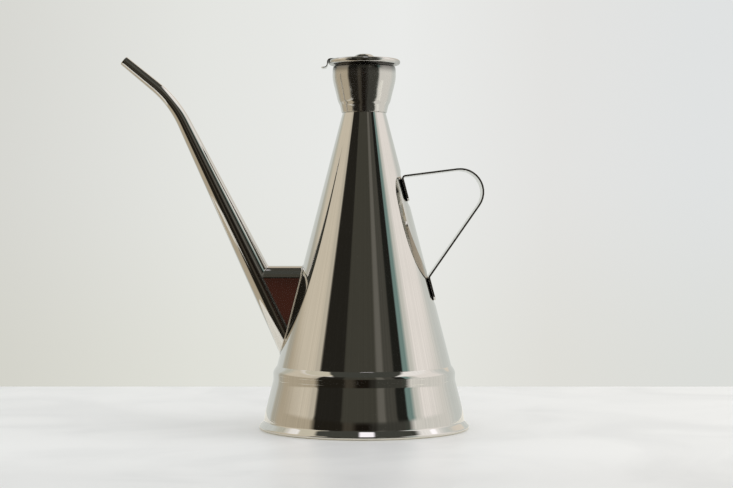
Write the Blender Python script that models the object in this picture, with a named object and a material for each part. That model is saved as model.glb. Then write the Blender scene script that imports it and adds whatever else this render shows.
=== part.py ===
"""Steel oil cruet: a conical can with a press-in lid, a braced spout and a strap handle.

Units are metres and +Z is up. The can stands on Z = 0, its spout points to -X and its handle to +X.
Every piece is parented to the empty can_axis, which is the can's own axis. The origin lies under the
middle of the whole object's bounding box. The lid's pieces are measured from the mouth's edge.
"""

import math

import bmesh
import bpy
import numpy as np
from mathutils import Vector

# Fits
GAP = 0.0003  # air left where two pieces touch
OVERRUN = 0.004  # how far a cutter runs past what it cuts
WELD = 0.000001

# Facets
TURN_STEPS = 48
TUBE_SIDES = 20
ARC_STEPS = 5

# Body cone, whose outer line runs straight from the table to the mouth
CONE_FOOT_RADIUS = 0.05517
CONE_TOP_RADIUS = 0.0108
CONE_TOP = 0.171
CONE_WALL = 0.0005

# Skirt: a collar over the cone's lower edge, then the cone's line, a waist and a rolled foot
COLLAR_HEIGHT = 0.0304
COLLAR_SPACE = 0.00072  # air between the cone and the collar at that height
COLLAR_ROUND = 0.0023
WAIST_HEIGHT = 0.0076  # the cone's line ends here, and the waist goes straight down
WAIST_FILLET = 0.003
FOOT_FLARE = 0.00285  # how far the foot stands out from the waist
FOOT_ROLL = 0.0014
FOOT_FLAT = 0.0018
SKIRT_WALL = 0.0005

# Bottom plate, a pan with its rim turned up inside the waist
BOTTOM_RECESS = 0.0024
BOTTOM_WALL = 0.0005
BOTTOM_CORNER = 0.0015
RIM_MARGIN = 0.0006  # how far the rim stays under the waist's upper end
PANEL_MARGIN = 0.0144  # from the rim to the raised panel's edge
PANEL_RISE = 0.0008
PANEL_SLOPE = 0.002

# Mouth funnel, spun over the cone's top
FUNNEL_SLEEVE = 0.0022  # how far its foot reaches down the cone
FUNNEL_HEIGHT = 0.0248
FUNNEL_BELLY = 0.0169
FUNNEL_WALL = 0.0005
# Height from the foot, and radius from the foot's radius to the belly's
FUNNEL_SHARES = (
    (1.0, 0.95),
    (0.84, 1.0),
    (0.76, 0.98),
    (0.66, 0.92),
    (0.5, 0.735),
    (0.3, 0.5),
    (0.22, 0.385),
    (0.17, 0.26),
    (0.13, 0.17),
    (0.0, 0.0),
)

# Lid disc with its boss and its rolled rim
LID_OVERHANG = 0.0026  # past the mouth's outer edge
LID_ROLL = 0.00135
LID_CURL_DEGREES = 255
LID_WALL = 0.00045
BOSS_RADIUS = 0.008
BOSS_HEIGHT = 0.0031
# Radius out of the boss's foot radius, and height out of its height
BOSS_SHARES = (
    (0.0, 1.0),
    (0.42, 1.0),
    (0.56, 0.93),
    (0.66, 0.76),
    (0.75, 0.48),
    (0.86, 0.17),
    (1.0, 0.0),
)

# Plug ring under the lid
PLUG_CLEARANCE = 0.0004
PLUG_DEPTH = 0.0065
PLUG_LEAD = 0.002
PLUG_LEAD_IN = 0.0004
PLUG_WALL = 0.0005

# Lift tab of the lid
TAB_WIDTH = 0.008
TAB_THICKNESS = 0.0005
TAB_ROOT = 0.0045  # length lying on the disc, inside the roll
TAB_DROP = 0.001
TAB_CURL = 0.0019
TAB_TIP = 0.0015

# Spout, placed by the point where its middle line meets the cone
SPOUT_FOOT_HEIGHT = 0.0517
SPOUT_RUN = 0.1365  # from there to where the two straight runs would meet
SPOUT_TIP_LENGTH = 0.0346  # from that corner to the open end
SPOUT_TIP_LEAN = math.radians(50.7)
SPOUT_LEAN = math.radians(26.1)
SPOUT_BEND = 0.06
SPOUT_TIP_RADIUS = 0.00265
SPOUT_MIDDLE_RADIUS = 0.0032
SPOUT_FOOT_RADIUS = 0.008
SPOUT_WALL = 0.0006
SPOUT_HOLE_MARGIN = 0.0004  # ledge of the cone left inside the bore

# Brace between spout and cone
BRACE_TOP = 0.0862
BRACE_WALL = 0.0006

# Handle strap
STRAP_WIDTH = 0.018
STRAP_THICKNESS = 0.0007
STRAP_UPPER = 0.1342
STRAP_LOWER = 0.0815
STRAP_OUT = 0.0551  # from the upper corner on the cone to where the two straight runs would meet
STRAP_RISE = 0.0065
STRAP_GRIP_RADIUS = 0.01124
STRAP_BEND = 0.0014
TANG_LENGTH = 0.0135

# Sizes worked out from those above
CONE_SLOPE = (CONE_FOOT_RADIUS - CONE_TOP_RADIUS) / CONE_TOP
CONE_ANGLE = math.atan(CONE_SLOPE)
CONE_ALONG = Vector((-math.sin(CONE_ANGLE), 0, math.cos(CONE_ANGLE)))
COLLAR_RADIUS = CONE_FOOT_RADIUS - CONE_SLOPE * COLLAR_HEIGHT + COLLAR_SPACE + SKIRT_WALL
WAIST_RADIUS = CONE_FOOT_RADIUS - CONE_SLOPE * WAIST_HEIGHT
FOOT_RADIUS = WAIST_RADIUS + FOOT_FLARE
FUNNEL_FOOT = CONE_TOP - FUNNEL_SLEEVE
MOUTH = FUNNEL_FOOT + FUNNEL_HEIGHT
LID_TOP = GAP + LID_ROLL + LID_ROLL


def cone_radius(height, outside=0):
    """Radius of the cone's outer line at a height, or of a line that far outside it."""
    return CONE_FOOT_RADIUS - CONE_SLOPE * height + outside / math.cos(CONE_ANGLE)


def arc(centre, radius, start, stop, steps=ARC_STEPS):
    """Points of an arc from start to stop degrees, both included."""
    turns = np.radians(np.linspace(start, stop, steps + 1))
    return [(centre[0] + radius * math.cos(t), centre[1] + radius * math.sin(t)) for t in turns]


def moved_aside(path, distance):
    """The path moved to its left by a distance, with mitred corners."""
    points = np.array(path)
    steps = np.diff(points, axis=0)
    normals = np.stack((-steps[:, 1], steps[:, 0]), axis=1)
    normals /= np.linalg.norm(normals, axis=1)[:, None]
    mitres = np.vstack((normals[:1], normals)) + np.vstack((normals, normals[-1:]))
    mitres /= (mitres**2).sum(axis=1)[:, None] / 2
    return [tuple(point) for point in points + distance * mitres]


def sheet(face, wall):
    """Outline of a sheet whose outer face follows a path and whose wall lies to the path's left."""
    return list(face) + moved_aside(face, wall)[::-1]


def rounded(corners, radii):
    """A path through corners in the XZ plane, with an arc of the given radius at each inner one."""
    path = [corners[0]]
    for before, corner, after, radius in zip(corners, corners[1:], corners[2:], radii):
        incoming = (corner - before).normalized()
        outgoing = (after - corner).normalized()
        turn = incoming.angle(outgoing)
        start = corner - incoming * radius * math.tan(turn / 2)
        inward = (outgoing - incoming * incoming.dot(outgoing)).normalized()
        steps = max(3, round(math.degrees(turn) / 18))
        for step in range(steps + 1):
            angle = turn * step / steps
            path.append(start + incoming * radius * math.sin(angle) + inward * radius * (1 - math.cos(angle)))
    return path + [corners[-1]]


def steel(name, shade, roughness):
    """A stainless finish of its own for one piece."""
    material = bpy.data.materials.new(name)
    material.use_nodes = True
    shader = material.node_tree.nodes["Principled BSDF"]
    shader.inputs["Base Color"].default_value = (shade, shade * 0.99, shade * 0.96, 1)
    shader.inputs["Metallic"].default_value = 1
    shader.inputs["Roughness"].default_value = roughness
    return material


def placed(name, bm, parent, finish):
    """An object made from a closed bmesh, with its faces turned out. A guide has no finish."""
    bmesh.ops.remove_doubles(bm, verts=bm.verts, dist=WELD)
    bmesh.ops.recalc_face_normals(bm, faces=bm.faces)
    mesh = bpy.data.meshes.new(name)
    bm.to_mesh(mesh)
    bm.free()
    mesh.shade_smooth()
    mesh.set_sharp_from_angle(angle=math.radians(35))
    piece = bpy.data.objects.new(name, mesh)
    bpy.context.scene.collection.objects.link(piece)
    piece.parent = parent
    if finish is None:
        piece.hide_render = True
        piece.display_type = "WIRE"
    else:
        mesh.materials.append(finish)
    return piece


def turned(name, outline, parent, finish=None):
    """A body turned about Z from (radius, height) points. One that starts on the axis is left open there."""
    bm = bmesh.new()
    corners = [bm.verts.new((radius, 0, height)) for radius, height in outline]
    ends = corners[1:] if outline[0][0] == 0 else corners[1:] + corners[:1]
    edges = [bm.edges.new(pair) for pair in zip(corners, ends)]
    bmesh.ops.spin(
        bm,
        geom=corners + edges,
        cent=(0, 0, 0),
        axis=(0, 0, 1),
        angle=math.tau,
        steps=TURN_STEPS,
        use_merge=True,
    )
    return placed(name, bm, parent, finish)


def lofted(name, rings, parent, finish=None, ring_closed=False):
    """A body through rings of points, capped at both ends, or joined from the last ring to the first."""
    bm = bmesh.new()
    loops = [[bm.verts.new(point) for point in ring] for ring in rings]
    pairs = list(zip(loops, loops[1:]))
    if ring_closed:
        pairs.append((loops[-1], loops[0]))
    else:
        bm.faces.new(loops[0])
        bm.faces.new(loops[-1])
    for first, second in pairs:
        for i, vertex in enumerate(first):
            bm.faces.new((first[i - 1], vertex, second[i], second[i - 1]))
    return placed(name, bm, parent, finish)


def cut(piece, cutter):
    """Takes the cutter's shape out of a piece."""
    boolean = piece.modifiers.new(f"cut by {cutter.name}", "BOOLEAN")
    boolean.operation = "DIFFERENCE"
    boolean.solver = "EXACT"
    boolean.object = cutter


def strap(name, path, width, thickness, parent, finish):
    """A flat strip of even width along Y, whose middle follows a path in the XZ plane."""
    flat = [(point.x, point.z) for point in path]
    rings = []
    for one, other in zip(moved_aside(flat, thickness / 2), moved_aside(flat, -thickness / 2)):
        sides = ((one, width / 2), (one, -width / 2), (other, -width / 2), (other, width / 2))
        rings.append([(point[0], y, point[1]) for point, y in sides])
    return lofted(name, rings, parent, finish)


def make_body_cone(axis):
    """The rolled cone, wedged into the collar at its lower edge."""
    edge = COLLAR_HEIGHT - (COLLAR_SPACE - GAP) / CONE_SLOPE
    face = [(cone_radius(CONE_TOP), CONE_TOP), (cone_radius(edge), edge)]
    return turned("body_cone", sheet(face, -CONE_WALL), axis, steel("cone_steel", 0.62, 0.08))


def make_base_skirt(axis):
    """Collar, skirt, waist and rolled foot in one sheet, drawn from the collar's upper end."""
    hub = COLLAR_RADIUS - COLLAR_ROUND
    inner_round = (COLLAR_ROUND - SKIRT_WALL) / math.cos(CONE_ANGLE)
    closing = math.acos((cone_radius(COLLAR_HEIGHT, GAP) - hub) / inner_round) + CONE_ANGLE
    fold = (CONE_FOOT_RADIUS - COLLAR_RADIUS) / CONE_SLOPE
    roll = (FOOT_RADIUS - FOOT_ROLL, FOOT_ROLL)
    fillet_radius = WAIST_RADIUS + WAIST_FILLET
    meeting = math.acos((fillet_radius - roll[0]) / (FOOT_ROLL + WAIST_FILLET))
    fillet = (fillet_radius, roll[1] + (FOOT_ROLL + WAIST_FILLET) * math.sin(meeting))
    meeting = math.degrees(meeting)
    face = arc((hub, COLLAR_HEIGHT), COLLAR_ROUND, math.degrees(closing), 0, 4)
    face += [(COLLAR_RADIUS, fold), (WAIST_RADIUS, WAIST_HEIGHT)]
    face += arc(fillet, WAIST_FILLET, 180, 180 + meeting, 4)[:-1]
    face += arc(roll, FOOT_ROLL, meeting, -90, 6)
    face += [(roll[0] - FOOT_FLAT, 0)]
    return turned("base_skirt", sheet(face, -SKIRT_WALL), axis, steel("skirt_steel", 0.62, 0.08))


def make_bottom_plate(axis):
    """A pan with a raised panel, drawn along its underside from the axis to the rim's top."""
    rim = WAIST_RADIUS - SKIRT_WALL - GAP
    panel = BOTTOM_RECESS + PANEL_RISE
    corner = (rim - BOTTOM_CORNER, BOTTOM_RECESS + BOTTOM_CORNER)
    edge = rim - PANEL_MARGIN
    face = [(0, panel), (edge - PANEL_SLOPE, panel), (edge, BOTTOM_RECESS)]
    face += arc(corner, BOTTOM_CORNER, -90, 0, 3)
    face += [(rim, WAIST_HEIGHT - RIM_MARGIN)]
    return turned("bottom_plate", sheet(face, BOTTOM_WALL), axis, steel("bottom_steel", 0.58, 0.2))


def funnel_radius(share):
    """The funnel's outer radius for a share of the way from its foot's radius to its belly's."""
    foot = cone_radius(FUNNEL_FOOT, GAP + FUNNEL_WALL)
    return foot + share * (FUNNEL_BELLY - foot)


def lid_roll_ring():
    """Radius of the middle line of the lid's rolled rim."""
    return funnel_radius(FUNNEL_SHARES[0][1]) + LID_OVERHANG - LID_ROLL


def make_mouth_funnel(axis):
    """The spun funnel, whose foot sleeves the cone's top, drawn down its outside."""
    face = [
        (funnel_radius(radius_share), FUNNEL_FOOT + height_share * FUNNEL_HEIGHT)
        for height_share, radius_share in FUNNEL_SHARES
    ]
    return turned("mouth_funnel", sheet(face, -FUNNEL_WALL), axis, steel("funnel_steel", 0.6, 0.16))


def make_lid_disc(lid_axis):
    """The pressed disc: boss, plate and a rim curled under, drawn along its upper face."""
    face = [(BOSS_RADIUS * out, LID_TOP + BOSS_HEIGHT * up) for out, up in BOSS_SHARES]
    face += arc((lid_roll_ring(), LID_TOP - LID_ROLL), LID_ROLL, 90, 90 - LID_CURL_DEGREES, 8)
    return turned("lid_disc", sheet(face, -LID_WALL), lid_axis, steel("lid_steel", 0.66, 0.1))


def make_lid_plug_ring(lid_axis):
    """The ring that enters the mouth, drawn down its outside, drawn in at its lower end."""
    radius = funnel_radius(FUNNEL_SHARES[0][1]) - FUNNEL_WALL - PLUG_CLEARANCE
    top = LID_TOP - LID_WALL - GAP
    face = [(radius, top), (radius, PLUG_LEAD - PLUG_DEPTH), (radius - PLUG_LEAD_IN, -PLUG_DEPTH)]
    return turned("lid_plug_ring", sheet(face, -PLUG_WALL), lid_axis, steel("plug_steel", 0.58, 0.22))


def make_lid_lift_tab(lid_axis):
    """The strip over the rim on the spout's side: flat root, over the roll, down, and curled out."""
    away = GAP + TAB_THICKNESS / 2
    hook = LID_ROLL + away
    ring = lid_roll_ring()
    shoulder = arc((-ring, LID_TOP - LID_ROLL), hook, 90, 180)
    low = LID_TOP - LID_ROLL - TAB_DROP
    curl = arc((-ring - hook - TAB_CURL, low), TAB_CURL, 0, -90)
    tip = (curl[-1][0] - TAB_TIP, curl[-1][1])
    root = (TAB_ROOT - ring, LID_TOP + away)
    path = [Vector((x, 0, z)) for x, z in [root, *shoulder, *curl, tip]]
    finish = steel("tab_steel", 0.62, 0.14)
    return strap("lid_lift_tab", path, TAB_WIDTH, TAB_THICKNESS, lid_axis, finish)


class SpoutRoute:
    """The spout's middle line in the XZ plane: a tip run, a bend and a long run down to the cone."""

    def __init__(self):
        self.tip_down = Vector((math.sin(SPOUT_TIP_LEAN), 0, -math.cos(SPOUT_TIP_LEAN)))
        self.down = Vector((math.sin(SPOUT_LEAN), 0, -math.cos(SPOUT_LEAN)))
        self.foot = Vector((-cone_radius(SPOUT_FOOT_HEIGHT), 0, SPOUT_FOOT_HEIGHT))
        self.corner = self.foot - self.down * SPOUT_RUN
        self.tip = self.corner - self.tip_down * SPOUT_TIP_LENGTH

    def radius(self, way):
        """Outer radius at a distance past the corner, which is negative on the tip run."""
        if way < 0:
            return SPOUT_MIDDLE_RADIUS + (SPOUT_MIDDLE_RADIUS - SPOUT_TIP_RADIUS) * way / SPOUT_TIP_LENGTH
        return SPOUT_MIDDLE_RADIUS + (SPOUT_FOOT_RADIUS - SPOUT_MIDDLE_RADIUS) * way / SPOUT_RUN

    def line_x(self, height):
        """X of the long run's middle line at a height."""
        return self.corner.x + (self.corner.z - height) * math.tan(SPOUT_LEAN)

    def radius_at_height(self, height):
        """Outer radius of the long run where its middle line passes a height."""
        return self.radius((self.corner.z - height) / math.cos(SPOUT_LEAN))

    def rings(self, grown, overrun, start=0):
        """Rings of the outer surface grown by a distance, from the tip, or past the corner by start."""
        beyond = self.foot + self.down * overrun
        if start > 0:
            path = [self.corner + self.down * start, beyond]
        else:
            path = rounded([self.tip, self.corner, beyond], [SPOUT_BEND])
        rings = []
        for i, point in enumerate(path):
            along = (path[min(i + 1, len(path) - 1)] - path[max(i - 1, 0)]).normalized()
            if start == 0 and i == 0:
                along = self.tip_down
            side = Vector((0, 1, 0))
            up = side.cross(along)
            way = (point - self.corner).dot(self.down if point.z < self.corner.z else self.tip_down)
            radius = self.radius(way) + grown
            turns = np.arange(TUBE_SIDES) * math.tau / TUBE_SIDES
            rings.append([point + up * radius * math.cos(t) + side * radius * math.sin(t) for t in turns])
        return rings


def make_spout_tube(axis, route, cone_guide):
    """The tapered tube, cut to a saddle where it meets the cone."""
    reach = SPOUT_FOOT_RADIUS / math.tan(SPOUT_LEAN + CONE_ANGLE) + OVERRUN
    outside = route.rings(0, reach)
    inside = route.rings(-SPOUT_WALL, reach)
    finish = steel("spout_steel", 0.6, 0.1)
    tube = lofted("spout_tube", outside + inside[::-1], axis, finish, ring_closed=True)
    cut(tube, cone_guide)
    return tube


def make_spout_brace(axis, route, cone_guide):
    """A folded sheet as wide as the spout: a half-round back and two cheeks that flare with it."""
    half = route.radius_at_height(BRACE_TOP)
    outer = [(-SPOUT_FOOT_RADIUS, SPOUT_FOOT_HEIGHT)]
    outer += arc((0, BRACE_TOP - half), half, 180, 0, 12)
    outer += [(SPOUT_FOOT_RADIUS, SPOUT_FOOT_HEIGHT)]
    rings = []
    for station in zip(outer, moved_aside(outer, -BRACE_WALL)):
        ring = []
        for (y, z), ends in zip(station, ((0, 1), (1, 0))):
            sides = (route.line_x(z), OVERRUN - cone_radius(z))
            ring += [(sides[end], y, z) for end in ends]
        rings.append(ring)
    brace = lofted("spout_brace", rings, axis, steel("brace_steel", 0.6, 0.12))
    cut(brace, cone_guide)
    start = (route.corner.z - BRACE_TOP) / math.cos(SPOUT_LEAN) - SPOUT_FOOT_RADIUS - OVERRUN
    rings = route.rings(GAP, SPOUT_FOOT_RADIUS + OVERRUN, start)
    cut(brace, lofted("spout_guide", rings, axis))
    return brace


def make_handle_strap(axis):
    """The strap: an upper tang on the cone, a run out, the grip's bend, a run back and a lower tang."""
    away = GAP + STRAP_THICKNESS / 2
    upper = Vector((cone_radius(STRAP_UPPER, away), 0, STRAP_UPPER))
    lower = Vector((cone_radius(STRAP_LOWER, away), 0, STRAP_LOWER))
    grip = upper + Vector((STRAP_OUT, 0, STRAP_RISE))
    corners = [upper - CONE_ALONG * TANG_LENGTH, upper, grip, lower, lower - CONE_ALONG * TANG_LENGTH]
    path = rounded(corners, [STRAP_BEND, STRAP_GRIP_RADIUS, STRAP_BEND])
    finish = steel("strap_steel", 0.55, 0.12)
    return strap("handle_strap", path, STRAP_WIDTH, STRAP_THICKNESS, axis, finish)


def centre_on_origin(axis):
    """Moves the can's axis along X until the middle of the whole object's box is over the origin."""
    bpy.context.view_layer.update()
    graph = bpy.context.evaluated_depsgraph_get()
    reached = []
    for piece in axis.children_recursive:
        if piece.type == "MESH" and not piece.hide_render:
            evaluated = piece.evaluated_get(graph)
            reached += [(evaluated.matrix_world @ vertex.co).x for vertex in evaluated.data.vertices]
    axis.location.x = -(min(reached) + max(reached)) / 2


def main():
    """Clears the scene and builds the cruet."""
    for leftover in list(bpy.data.objects):
        bpy.data.objects.remove(leftover)
    axis = bpy.data.objects.new("can_axis", None)
    lid_axis = bpy.data.objects.new("lid_axis", None)
    for empty in (axis, lid_axis):
        bpy.context.scene.collection.objects.link(empty)
    lid_axis.parent = axis
    lid_axis.location.z = MOUTH

    route = SpoutRoute()
    cone_outline = [(0, CONE_TOP), (cone_radius(CONE_TOP, GAP), CONE_TOP), (cone_radius(0, GAP), 0), (0, 0)]
    cone_guide = turned("cone_guide", cone_outline, axis)

    cone = make_body_cone(axis)
    across = SPOUT_FOOT_RADIUS / math.tan(SPOUT_LEAN + CONE_ANGLE) + OVERRUN
    bore = route.rings(-SPOUT_WALL - SPOUT_HOLE_MARGIN, across, SPOUT_RUN - across)
    cut(cone, lofted("spout_hole_guide", bore, axis))

    make_base_skirt(axis)
    make_bottom_plate(axis)
    make_mouth_funnel(axis)
    make_spout_tube(axis, route, cone_guide)
    make_spout_brace(axis, route, cone_guide)
    make_handle_strap(axis)
    make_lid_disc(lid_axis)
    make_lid_plug_ring(lid_axis)
    make_lid_lift_tab(lid_axis)
    centre_on_origin(axis)


main()
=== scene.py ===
"""Steel oil cruet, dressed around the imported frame.

A conical can with a bead over its skirt, a spun funnel mouth, a press-in lid with a lift tab, a
braced pouring spout and a strap handle. Lengths are metres, and +Z is up. Tables of outlines are in
millimetres, as (distance from the can's axis, height), and are turned into metres where they are read.
A class says which other fields of its are in millimetres or degrees.
"""

import logging
import math
from dataclasses import dataclass, field
from enum import Enum
from functools import reduce
from typing import Any, Sequence

import bmesh
import bpy
import numpy as np
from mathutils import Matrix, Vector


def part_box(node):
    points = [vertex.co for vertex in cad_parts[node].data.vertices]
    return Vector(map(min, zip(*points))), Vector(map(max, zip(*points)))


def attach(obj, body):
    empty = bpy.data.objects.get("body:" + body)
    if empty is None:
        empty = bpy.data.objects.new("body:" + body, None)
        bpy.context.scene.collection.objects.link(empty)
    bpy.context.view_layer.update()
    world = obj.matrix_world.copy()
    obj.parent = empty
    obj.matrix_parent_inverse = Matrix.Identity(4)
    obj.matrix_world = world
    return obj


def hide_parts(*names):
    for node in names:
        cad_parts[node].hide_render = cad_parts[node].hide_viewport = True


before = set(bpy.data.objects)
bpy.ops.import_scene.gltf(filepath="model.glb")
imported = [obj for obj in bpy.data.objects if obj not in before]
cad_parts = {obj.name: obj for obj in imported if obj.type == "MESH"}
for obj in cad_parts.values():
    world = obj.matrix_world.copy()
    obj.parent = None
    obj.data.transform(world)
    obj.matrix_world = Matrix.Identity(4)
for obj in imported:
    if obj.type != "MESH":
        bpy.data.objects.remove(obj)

LOG = logging.getLogger("cruet")
MM = 0.001
WELD = 1e-7  # points that lie closer than this are merged
TOUCH = 0.00005  # air drawn between two sheets that lie on each other
FULL_TURN = 2 * math.pi
EDGE_POINTS = 5  # points that round off a sheet's edge

Array = np.ndarray
Colour = tuple[float, float, float]
Tree = bpy.types.NodeTree
Socket = bpy.types.NodeSocket
Piece = bpy.types.Object


# Curves and grids


def unit(vectors: Array) -> Array:
    """Vectors scaled to length one along their last axis."""
    return vectors / np.linalg.norm(vectors, axis=-1, keepdims=True)


def smoothstep(low: float, high: float, values: Array) -> Array:
    """Rises from 0 at low to 1 at high as 3t^2 - 2t^3."""
    share = np.clip((values - low) / (high - low), 0, 1)
    return share * share * (3 - 2 * share)


def run_lengths(path: Array) -> Array:
    """Distance from a path's start to each of its points, along its chords."""
    steps = np.linalg.norm(np.diff(path, axis=0), axis=1)
    return np.concatenate(([0.0], np.cumsum(steps)))


def resampled(path: Array, count: int) -> Array:
    """The same path with evenly spaced points.

    Args:
        path: Points of the path, one row each.
        count: How many points the result has.

    Returns:
        Points at equal distances along the chords, found by linear interpolation.
    """
    along = run_lengths(path)
    wanted = np.linspace(0, along[-1], count)
    return np.stack([np.interp(wanted, along, column) for column in path.T], axis=1)


def spline(knots: Array, count: int) -> Array:
    """A natural cubic spline through knots, with the chord length as its parameter.

    The second derivatives m solve h[i-1] m[i-1] + 2 (h[i-1] + h[i]) m[i] + h[i] m[i+1] = 6 times the
    change of slope at knot i, and are zero at both ends.

    Args:
        knots: Points that the curve passes through, one row each.
        count: How many evenly spaced points the result has.

    Returns:
        Points of the curve.
    """
    along = run_lengths(knots)
    gaps = np.diff(along)
    slopes = np.diff(knots, axis=0) / gaps[:, None]
    system = np.eye(len(knots))
    inner = np.arange(1, len(knots) - 1)
    system[inner, inner - 1] = gaps[:-1]
    system[inner, inner] = 2 * (gaps[:-1] + gaps[1:])
    system[inner, inner + 1] = gaps[1:]
    change = np.zeros_like(knots)
    change[1:-1] = 6 * np.diff(slopes, axis=0)
    bend = np.linalg.solve(system, change)
    wanted = np.linspace(0, along[-1], count)
    piece = np.clip(np.searchsorted(along, wanted, side="right") - 1, 0, len(gaps) - 1)
    gap = gaps[piece][:, None]
    before = (wanted - along[piece])[:, None]
    after = gap - before
    curve = (bend[piece] * after**3 + bend[piece + 1] * before**3) / (6 * gap)
    curve += (knots[piece] / gap - bend[piece] * gap / 6) * after
    curve += (knots[piece + 1] / gap - bend[piece + 1] * gap / 6) * before
    return resampled(curve, count)


def arc(centre: Sequence[float], radius: float, start: float, stop: float, count: int) -> Array:
    """Points of a circle's arc in a plane, from start to stop degrees, both included."""
    turns = np.radians(np.linspace(start, stop, count))
    return np.array(centre) + radius * np.stack((np.cos(turns), np.sin(turns)), axis=1)


def filleted(corners: Sequence[Array], radii: Sequence[float], steps: int) -> Array:
    """A polyline whose inner corners are replaced by arcs tangent to both runs.

    A corner that turns by an angle a starts its arc at radius * tan(a / 2) before the corner.

    Args:
        corners: The polyline's points.
        radii: One radius for each inner corner.
        steps: How many points each arc has.

    Returns:
        Points of the path, arcs included.
    """
    path = [corners[0][None]]
    for before, corner, after, radius in zip(corners, corners[1:], corners[2:], radii):
        incoming, outgoing = unit(corner - before), unit(after - corner)
        turn = math.acos(float(np.clip(incoming @ outgoing, -1, 1)))
        inward = unit(outgoing - incoming * (incoming @ outgoing))
        angle = np.linspace(0, turn, steps)[:, None]
        start = corner - incoming * radius * math.tan(turn / 2)
        path.append(start + radius * (incoming * np.sin(angle) + inward * (1 - np.cos(angle))))
    return np.vstack(path + [corners[-1][None]])


def tangents(path: Array) -> Array:
    """Direction of a path at each point: the mean of the unit directions of the two runs beside it."""
    runs = unit(np.diff(path, axis=0))
    return unit(np.vstack((runs[:1], runs)) + np.vstack((runs, runs[-1:])))


def left_of(directions: Array) -> Array:
    """Directions in a plane, turned a quarter turn to the left."""
    return np.stack((-directions[:, 1], directions[:, 0]), axis=1)


def sheet_outline(face: Array, wall: float, side: int = 1, end_points: int = EDGE_POINTS) -> Array:
    """Closed outline of a sheet with half-round edges.

    Args:
        face: The sheet's shown face, as a path in a plane.
        wall: The sheet's thickness.
        side: 1 if the sheet lies to the left of the path, -1 if to its right.
        end_points: How many points round off each edge.

    Returns:
        The face, the far edge, the face moved aside by the wall, and the near edge, in order.
    """
    along = tangents(face)
    across = left_of(along) * side
    round_off = np.linspace(0, math.pi, end_points + 2)[1:-1, None]
    half = wall / 2

    def edge(point: Array, forward: Array, over: Array) -> Array:
        """Half a circle that leads from one face to the other round the sheet's edge."""
        middle = point + over * half
        return middle - over * half * np.cos(round_off) + forward * half * np.sin(round_off)

    back = face + across * wall
    far = edge(face[-1], along[-1], across[-1])
    near = edge(back[0], -along[0], -across[0])
    return np.vstack((face, far, back[::-1], near))


def turned(outline: Array, steps: int) -> Array:
    """An outline turned about the can's axis: point i of it at angle t is (r cos t, r sin t, z)."""
    angles = np.arange(steps) * FULL_TURN / steps
    grid = np.empty((len(outline), steps, 3))
    grid[..., 0] = outline[:, :1] * np.cos(angles) + CAN_X
    grid[..., 1] = outline[:, :1] * np.sin(angles)
    grid[..., 2] = outline[:, 1:]
    return grid


def grid_faces(rows: int, columns: int, close_rows: bool, close_columns: bool) -> Array:
    """Corner numbers of a grid's quads.

    Args:
        rows: Number of rows of points.
        columns: Number of points in a row.
        close_rows: Whether the last row joins the first.
        close_columns: Whether each row's last point joins its first.

    Returns:
        One row of four corner numbers for each quad.
    """
    row = np.arange(rows if close_rows else rows - 1)[:, None]
    column = np.arange(columns if close_columns else columns - 1)[None]
    here, below = row * columns, (row + 1) % rows * columns
    beside = (column + 1) % columns
    corners = (here + column, here + beside, below + beside, below + column)
    return np.stack(np.broadcast_arrays(*corners), axis=-1).reshape(-1, 4)


def enclosed_volume(points: Array, quads: Array) -> float:
    """Signed volume inside quads: a sixth of the sum of each triangle's triple product."""
    first, second, third, fourth = (points[quads[:, i]] for i in range(4))
    halves = np.cross(second, third) + np.cross(third, fourth)
    return float((first * halves).sum() / 6)


def placed(name: str, data: Any) -> Piece:
    """A new object in the scene's collection, at the origin."""
    piece = bpy.data.objects.new(name, data)
    bpy.context.scene.collection.objects.link(piece)
    return piece


def solid_from(name: str, grid: Array, close_rows: bool, close_columns: bool, sharp: float = 40) -> Piece:
    """Makes a closed object from a grid of points, with its faces turned out.

    Poles, where a row or column shrinks to a point, are merged, and open ends are capped.

    Args:
        name: The object's name.
        grid: Points, as rows by columns by three.
        close_rows: Whether the last row joins the first.
        close_columns: Whether each row's last point joins its first.
        sharp: Edges that turn by more than this many degrees are drawn sharp.

    Returns:
        The object.
    """
    points = grid.reshape(-1, 3)
    quads = grid_faces(grid.shape[0], grid.shape[1], close_rows, close_columns)
    middle = points.mean(axis=0)
    if enclosed_volume(points - middle, quads) < 0:
        quads = quads[:, ::-1]
    mesh = bpy.data.meshes.new(name)
    mesh.vertices.add(len(points))
    mesh.vertices.foreach_set("co", points.astype(np.float32).ravel())
    mesh.loops.add(quads.size)
    mesh.loops.foreach_set("vertex_index", quads.astype(np.int32).ravel())
    mesh.polygons.add(len(quads))
    mesh.polygons.foreach_set("loop_start", np.arange(0, quads.size, quads.shape[1], dtype=np.int32))
    mesh.update(calc_edges=True)
    shell = bmesh.new()
    shell.from_mesh(mesh)
    bmesh.ops.remove_doubles(shell, verts=shell.verts, dist=WELD)
    bmesh.ops.holes_fill(shell, edges=[edge for edge in shell.edges if edge.is_boundary], sides=0)
    if not (close_rows and close_columns):
        bmesh.ops.recalc_face_normals(shell, faces=shell.faces)
    shell.to_mesh(mesh)
    shell.free()
    mesh.shade_smooth()
    mesh.set_sharp_from_angle(angle=math.radians(sharp))
    return placed(name, mesh)


def turned_sheet(name: str, face: Array, wall: float, steps: int) -> Piece:
    """A sheet turned about the can's axis, which lies to the right of its shown face."""
    return solid_from(name, turned(sheet_outline(face, wall, -1), steps), True, True)


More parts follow.
